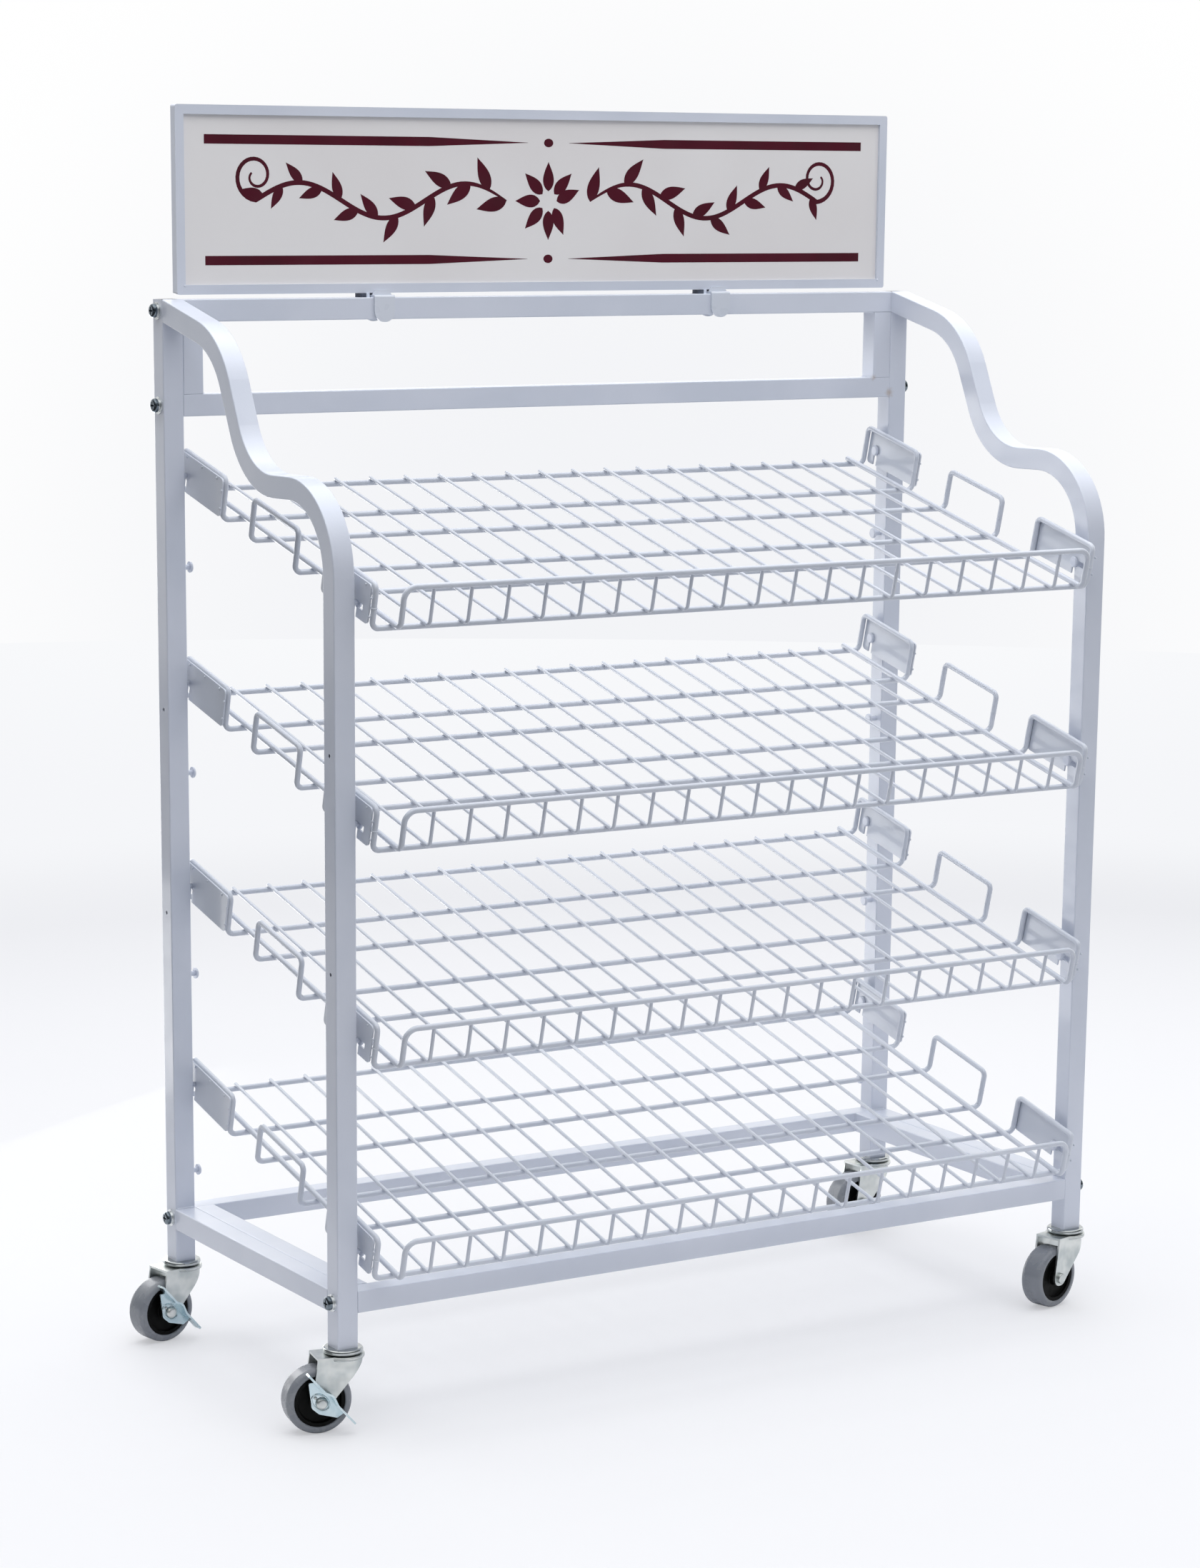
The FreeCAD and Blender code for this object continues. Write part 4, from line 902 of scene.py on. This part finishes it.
# %% [markdown]
# ## The garland
#
# Between the bars runs a mirrored garland of plain leaves on a waving stem, which curls up at
# its outer end and meets a rosette in the middle. The stem is a formula: a sine wave that
# runs into a spiral. A tree sets out the leaves: it walks the stem in even steps, turns a
# leaf along the stem at each, and leans it to one side and the other in turn. The rosette is
# the same tree on a small circle, with every leaf leaning outward.

# %% Stems
STEM_START = 0.058
STEM_END = 0.390
STEM_WAVE = 0.020
STEM_TURNS = 1.5
STEM_WIDTH = 0.0056
STEM_ROOT = 0.4
STEM_MARKS = 60
CURL_RADIUS = 0.027
CURL_TURNS = 1.35
CURL_CLOSING = 0.78
CURL_THINNING = 0.55
CURL_MARKS = 40


def stem_marks(side):
    """The stem's points and widths, from the rosette out to the end of its curl."""
    points = []
    widths = []
    for mark in range(STEM_MARKS):
        share = mark / (STEM_MARKS - 1)
        across = STEM_START + (STEM_END - STEM_START) * share
        wave = STEM_WAVE * math.sin(2 * math.pi * STEM_TURNS * share)
        points.append(Vector((side * across, wave, 0)))
        swell = math.sin(math.pi * min(0.5, share * 2))
        widths.append(STEM_WIDTH * (STEM_ROOT + (1 - STEM_ROOT) * swell))
    for mark in range(1, CURL_MARKS):
        share = mark / (CURL_MARKS - 1)
        angle = 2 * math.pi * CURL_TURNS * share - math.pi / 2
        reach = CURL_RADIUS * (1 - CURL_CLOSING * share)
        across = STEM_END + reach * math.cos(angle)
        points.append(Vector((side * across, CURL_RADIUS + reach * math.sin(angle), 0)))
        widths.append(STEM_WIDTH * (1 - CURL_THINNING * share))
    return points, widths


stems = [stem_marks(side) for side in (-1, 1)]
stem_widths = [width for _, widths in stems for width in widths]
stem_paths = skeleton("stem_paths", [points for points, _ in stems], width=stem_widths)
settle("sign_stems", on_sign(run(ribbon, stem_paths, vinyl)), "frame")

# %% Leaves
LEAF_MARKS = 15
LEAF_SWELL = 0.72


def leaf_row_tree():
    board = GeometryBoard(
        "leaf_row", Count=9, Length=0.04, Width=0.0135, Lean=0.7, Alternate=1.0, Least=0.7, End=1.0
    )
    stem = board.box("GeometryNodeMeshToCurve", inputs={"Mesh": board.size("Geometry")})
    part = board.box(
        "GeometryNodeTrimCurve", {"mode": "FACTOR"}, {"Curve": stem, 2: 0.0, 3: board.size("End")}
    )
    walk = board.box(
        "GeometryNodeCurveToPoints", inputs={"Curve": part, "Count": board.size("Count")}
    )
    tangent = Wire(board, walk.socket.node.outputs["Tangent"])
    run_of = board.box("ShaderNodeSeparateXYZ", inputs={"Vector": tangent})
    rise_of = Wire(board, run_of.socket.node.outputs["Y"])
    index = board.box("GeometryNodeInputIndex")
    hand = 1.0 - board.math("MODULO", index, 2.0) * board.size("Alternate") * 2.0
    heading = board.math("ARCTAN2", rise_of, run_of) + hand * board.size("Lean")
    turn = board.box("ShaderNodeCombineXYZ", inputs={"Z": heading})
    size = 1.0 - index / board.size("Count") * (1.0 - board.size("Least"))
    tip = board.box("ShaderNodeCombineXYZ", inputs={"X": board.size("Length")})
    midrib = board.box("GeometryNodeCurvePrimitiveLine", inputs={"End": tip})
    marks = board.box(
        "GeometryNodeResampleCurve", inputs={"Curve": midrib, "Count": LEAF_MARKS}
    )
    along = board.box("GeometryNodeSplineParameter")
    swell = board.math("SINE", board.math("POWER", along, LEAF_SWELL) * math.pi)
    width = board.math("MAXIMUM", swell * board.size("Width"), POINT_WIDTH)
    leaf = swept_ribbon(board, marks, width)
    leaves = board.box(
        "GeometryNodeInstanceOnPoints",
        inputs={"Points": walk, "Instance": leaf, "Rotation": turn, "Scale": size},
    )
    board.close(leaves, smooth=False)
    return board


leaf_row = leaf_row_tree()
for side, hand in (("left", -1), ("right", 1)):
    points, _ = stem_marks(hand)
    made = run(
        leaf_row, skeleton("leaf_path", [points[:STEM_MARKS]]), vinyl,
        Count=14, Length=0.042, Width=0.0165, Lean=0.75, Least=0.66, End=0.97,
    )
    settle(f"sign_leaves_{side}", on_sign(made), "frame")

# %% Rosette
PETALS = 8
ROSETTE_RADIUS = 0.0115

petal_roots = oval_marks(ROSETTE_RADIUS, ROSETTE_RADIUS, PETALS)
petals = run(
    leaf_row, skeleton("petal_path", [petal_roots]), vinyl,
    Count=PETALS, Length=0.034, Width=0.0150, Lean=-math.pi / 2, Alternate=0.0, Least=1.0,
)
settle("sign_rosette", on_sign(petals), "frame")

# %% [markdown]
# ## Weld beads
#
# Where the tubes meet, a welder has laid a short bead in each inner corner, and the powder
# has covered it. A bead is a row of small overlapping drops, so the bead tree makes it as
# well: the corner's line is only cut into even steps first.

# %% Weld beads on the tubes
WELD_RADIUS = 0.0017
WELD_STEP = 0.0015
WELD_INSET = 0.003
SIGN_BORDER = 0.0108
DROP_OVERLAP = 0.001
DROP_DEPTH = 0.0006


def weld_line(start, end):
    """Points at even steps along an inner corner, short of the tube's rounded edges."""
    run_length = (end - start).length - 2 * WELD_INSET
    along = (end - start).normalized()
    steps = int(run_length / WELD_STEP)
    return [[start + along * (WELD_INSET + run_length * step / steps)] for step in range(steps + 1)]


def weld_lines():
    lines = []
    for side in ("left", "right"):
        side_low, side_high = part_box(f"{side}_side_rail")
        for y in (side_low.y, side_high.y):
            for z in (side_low.z, side_high.z):
                lines += weld_line(Vector((side_low.x, y, z)), Vector((side_high.x, y, z)))
        inner_low, inner_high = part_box(f"base_{side}_rail")
        inner_x = inner_high.x if side == "left" else inner_low.x
        for y in (inner_low.y, inner_high.y):
            foot = Vector((inner_x, y, inner_low.z))
            lines += weld_line(foot, Vector((inner_x, y, inner_high.z)))
        stile_low, stile_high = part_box(f"back_{side}_stile")
        stile_x = stile_high.x if side == "left" else stile_low.x
        for z in (stile_low.z, stile_high.z):
            front = Vector((stile_x, stile_low.y, z))
            lines += weld_line(front, Vector((stile_x, stile_high.y, z)))
    return lines


def sign_corners():
    """A drop of weld in each lower inner corner of the sign's frame, on its front face."""
    low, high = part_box("sign_frame")
    inset = SIGN_BORDER - DROP_OVERLAP
    y = low.y + DROP_DEPTH
    return [[Vector((x, y, low.z + inset))] for x in (low.x + inset, high.x - inset)]


seams = skeleton("seams", weld_lines() + sign_corners())
drops = run(beads, seams, frame_paint, Radius=WELD_RADIUS, Squash=1.0, Stretch=1.0, Turn=1.5)
settle("tube_welds", drops, "frame")

# %% [markdown]
# ## Floor, room and light
#
# The rack stands on a white paper sweep in a studio. Near the rack the floor is paper that
# shows its lit colour and the soft shadows. Farther out it glows, so that no horizon shows,
# but only to the camera and in reflections: as a light source it is dim there, because a real
# sweep ends after a step or two and the studio beyond it is dark. On the left it ends so soon
# that even the gloss of the posts shows the dark. That is what makes the foot of a post
# brighter than its middle. To the camera a share of the glow also reaches in under the rack,
# which keeps its shadows as faint as on thin white paper. Light Path tells the rays apart.

# %% Floor
FLOOR_REACH = 7.0
FLOOR_SIDES = 96
PAPER = paint_chip(241, 241, 243)
PAPER_MIDDLE = Vector((0.5, 0.35, 0.0))
PAPER_LIT = 1.5
PAPER_END = 3.2
GLOW_NEAR = paint_chip(245, 246, 249)
GLOW_FAR = paint_chip(248, 249, 251)
STUDIO_GLOW = 0.15
SHEET_EDGE = -0.75
SHEET_GONE = -1.35
EDGE_GLOW = 0.1
SOFTENED = 0.45
DARK_PULL = 0.6


def studio_floor():
    finish = Finish("studio_floor", Base_Color=PAPER, Roughness=0.7, Specular_IOR_Level=0.15)
    reach = finish.distance(finish.place, PAPER_MIDDLE)
    across = finish.box("ShaderNodeSeparateXYZ", inputs={"Vector": finish.place})
    rays = finish.tree.nodes.new("ShaderNodeLightPath").outputs
    lighting = Wire(finish, rays["Is Diffuse Ray"])
    seen = Wire(finish, rays["Is Camera Ray"])
    unseen = 1.0 - seen
    past_edge = finish.spread(across, 1.0, 0.0, SHEET_GONE, SHEET_EDGE) * unseen
    far_off = finish.spread(reach, 0.0, 1.0, PAPER_END, FLOOR_REACH)
    colour = finish.blend(far_off, GLOW_NEAR, GLOW_FAR)
    strength = 1.0 - finish.math(
        "MAXIMUM", lighting * (1.0 - STUDIO_GLOW), past_edge * (1.0 - EDGE_GLOW)
    )
    glow = finish.box("ShaderNodeEmission", inputs={"Color": colour, "Strength": strength})
    lit_end = finish.spread(reach + lighting * DARK_PULL, 0.0, 1.0, PAPER_LIT, PAPER_END)
    far = finish.math("MAXIMUM", finish.math("MAXIMUM", lit_end, past_edge), seen * SOFTENED)
    mixed = finish.box(
        "ShaderNodeMixShader", inputs={0: far, 1: Wire(finish, finish.shader.outputs[0]), 2: glow}
    )
    finish.tree.links.new(mixed.socket, finish.end.inputs["Surface"])
    return finish.material


floor_rim = oval_marks(FLOOR_REACH, FLOOR_REACH, FLOOR_SIDES)
floor_mesh = bpy.data.meshes.new("floor")
floor_mesh.from_pydata(floor_rim, [], [list(range(FLOOR_SIDES))])
floor_mesh.materials.append(studio_floor())
floor = bpy.data.objects.new("floor", floor_mesh)
scene.collection.objects.link(floor)
print("floor", 2 * FLOOR_REACH, "m across")

# %% [markdown]
# ## The room
#
# The room is a pale backdrop to the camera, with a slightly greyer patch behind the rack. Metal
# and gloss see the same backdrop behind and above, but a dim studio in front and to the left,
# darkest low down, so that a chromed cup shows dark and bright bands. Everything else sees a
# weak fill, a little weaker from the left.

# %% Room
ROOM_FILL = paint_chip(214, 216, 221)
ROOM_FILL_STRENGTH = 0.76
LEFT_LOSS = 0.2
ROOM_WHITE = paint_chip(255, 255, 255)
ROOM_GREY = paint_chip(243, 244, 247)
ROOM_DARK = paint_chip(138, 141, 144)
ROOM_LOW = paint_chip(44, 48, 50)
ABOVE_STRENGTH = 1.5
BEHIND_RACK = Vector((0.52, 0.84, -0.12))
PATCH_EDGE = (0.04, 0.22)
BEHIND_EDGE = (0.25, 0.70)
ABOVE_EDGE = (0.55, 0.85)
BAND_LEVEL = 0.16
BAND_EDGE = (0.06, 0.22)
LEFT_EDGE = (0.0, 0.8)


def studio_room():
    world = bpy.data.worlds.new("studio_room")
    world.use_nodes = True
    scene.world = world
    board = Board(world.node_tree)
    board.tree.nodes.clear()
    rays = board.tree.nodes.new("ShaderNodeLightPath").outputs
    heading = Wire(board, board.tree.nodes.new("ShaderNodeTexCoord").outputs["Generated"])
    parts = board.box("ShaderNodeSeparateXYZ", inputs={"Vector": heading}).socket.node.outputs
    x, y, z = (Wire(board, parts[axis]) for axis in "XYZ")
    camera_ray, gloss_ray, through_ray = (
        Wire(board, rays[f"Is {kind} Ray"]) for kind in ("Camera", "Glossy", "Transmission")
    )
    away = board.distance(heading, BEHIND_RACK)
    backdrop = board.blend(board.spread(away, 0.0, 1.0, *PATCH_EDGE), ROOM_GREY, ROOM_WHITE)
    behind = board.spread(y * BEHIND_RACK.y + x * BEHIND_RACK.x, 0.0, 1.0, *BEHIND_EDGE)
    above = board.spread(z, 0.0, 1.0, *ABOVE_EDGE)
    off_level = board.math("ABSOLUTE", z - BAND_LEVEL)
    studio = board.blend(board.spread(off_level, 0.0, 1.0, *BAND_EDGE), ROOM_LOW, ROOM_DARK)
    mirrored = board.blend(board.math("MAXIMUM", behind, above), studio, ROOM_WHITE)
    glossy = board.math("MAXIMUM", gloss_ray, through_ray)
    seen = board.math("MAXIMUM", camera_ray, glossy)
    strength = above * glossy * (ABOVE_STRENGTH - 1.0) + 1.0
    on_left = board.spread(x * -1.0, 0.0, 1.0, *LEFT_EDGE)
    fill_strength = (1.0 - on_left * LEFT_LOSS) * ROOM_FILL_STRENGTH
    fill = board.box(
        "ShaderNodeBackground", inputs={"Color": ROOM_FILL, "Strength": fill_strength}
    )
    shown = board.box(
        "ShaderNodeBackground",
        inputs={"Color": board.blend(glossy, backdrop, mirrored), "Strength": strength},
    )
    mixed = board.box("ShaderNodeMixShader", inputs={0: seen, 1: fill, 2: shown})
    end = board.tree.nodes.new("ShaderNodeOutputWorld")
    board.tree.links.new(mixed.socket, end.inputs["Surface"])


studio_room()
print("room fill strength", ROOM_FILL_STRENGTH)

# %% [markdown]
# ## Lamps
#
# One large soft box hangs over the rack and does nearly all the work. A weak one on the right
# keeps that side from going flat. Two more stand behind and only show in gloss: a low strip
# is the bright reflection that runs down the foot of the rear left post, and a tall box lifts
# the inner side of the right posts and hook plates.

# %% Lamps


def soft_box(name, place, target, width, height, power, in_gloss=True, only_in_gloss=False):
    """A rectangular lamp that faces its target."""
    lamp = bpy.data.lights.new(name, "AREA")
    lamp.shape = "RECTANGLE"
    lamp.size = width
    lamp.size_y = height
    lamp.energy = power
    holder = bpy.data.objects.new(name, lamp)
    holder.location = place
    holder.rotation_euler = (Vector(target) - Vector(place)).to_track_quat("-Z", "Y").to_euler()
    holder.visible_camera = False
    holder.visible_glossy = in_gloss
    holder.visible_diffuse = not only_in_gloss
    scene.collection.objects.link(holder)


soft_box(
    "overhead_box", place=(0.0, 0.1, 3.2), target=(0.0, 0.1, 0.0),
    width=4.0, height=4.2, power=112, in_gloss=False,
)
soft_box(
    "right_box", place=(2.6, 0.6, 1.3), target=(0.5, 0.0, 0.6),
    width=1.0, height=1.8, power=4,
)
soft_box(
    "foot_strip", place=(-1.05, 1.31, 0.17), target=(-0.52, 0.22, 0.30),
    width=0.28, height=0.32, power=0.65, only_in_gloss=True,
)
soft_box(
    "rear_box", place=(-0.30, 1.30, 0.55), target=(0.51, -0.1, 0.8),
    width=1.0, height=1.1, power=9.0, only_in_gloss=True,
)

# %% [markdown]
# ## Camera
#
# The camera stands to the left and in front, a little above the top rail, and looks down
# slightly. Its long lens keeps the verticals nearly parallel. A small upward shift of the
# frame keeps the casters in view without tipping the camera further down.

# %% Camera
CAMERA_PLACE = Vector((-2.4582, -3.9078, 1.3834))
CAMERA_YAW = 0.55265
CAMERA_PITCH = -0.21934
CAMERA_ROLL = 0.00937
CAMERA_SHIFT = 0.16
FOCAL_PER_HEIGHT = 2.49513
SENSOR = 36.0

forward = Vector((
    math.sin(CAMERA_YAW) * math.cos(CAMERA_PITCH),
    math.cos(CAMERA_YAW) * math.cos(CAMERA_PITCH),
    math.sin(CAMERA_PITCH),
))
level_right = Vector((math.cos(CAMERA_YAW), -math.sin(CAMERA_YAW), 0))
level_up = level_right.cross(forward)
right = math.cos(CAMERA_ROLL) * level_right + math.sin(CAMERA_ROLL) * level_up
up = math.cos(CAMERA_ROLL) * level_up - math.sin(CAMERA_ROLL) * level_right
camera_data = bpy.data.cameras.new("studio_camera")
camera_data.sensor_width = SENSOR
camera_data.lens = SENSOR * FOCAL_PER_HEIGHT
camera_data.shift_y = CAMERA_SHIFT
camera = bpy.data.objects.new("studio_camera", camera_data)
turn = Matrix((right, up, -forward)).transposed().to_4x4()
camera.matrix_world = Matrix.Translation(CAMERA_PLACE) @ turn
scene.collection.objects.link(camera)
scene.camera = camera
scene.view_settings.view_transform = "Standard"
print("camera lens", round(camera_data.lens, 2), "mm")
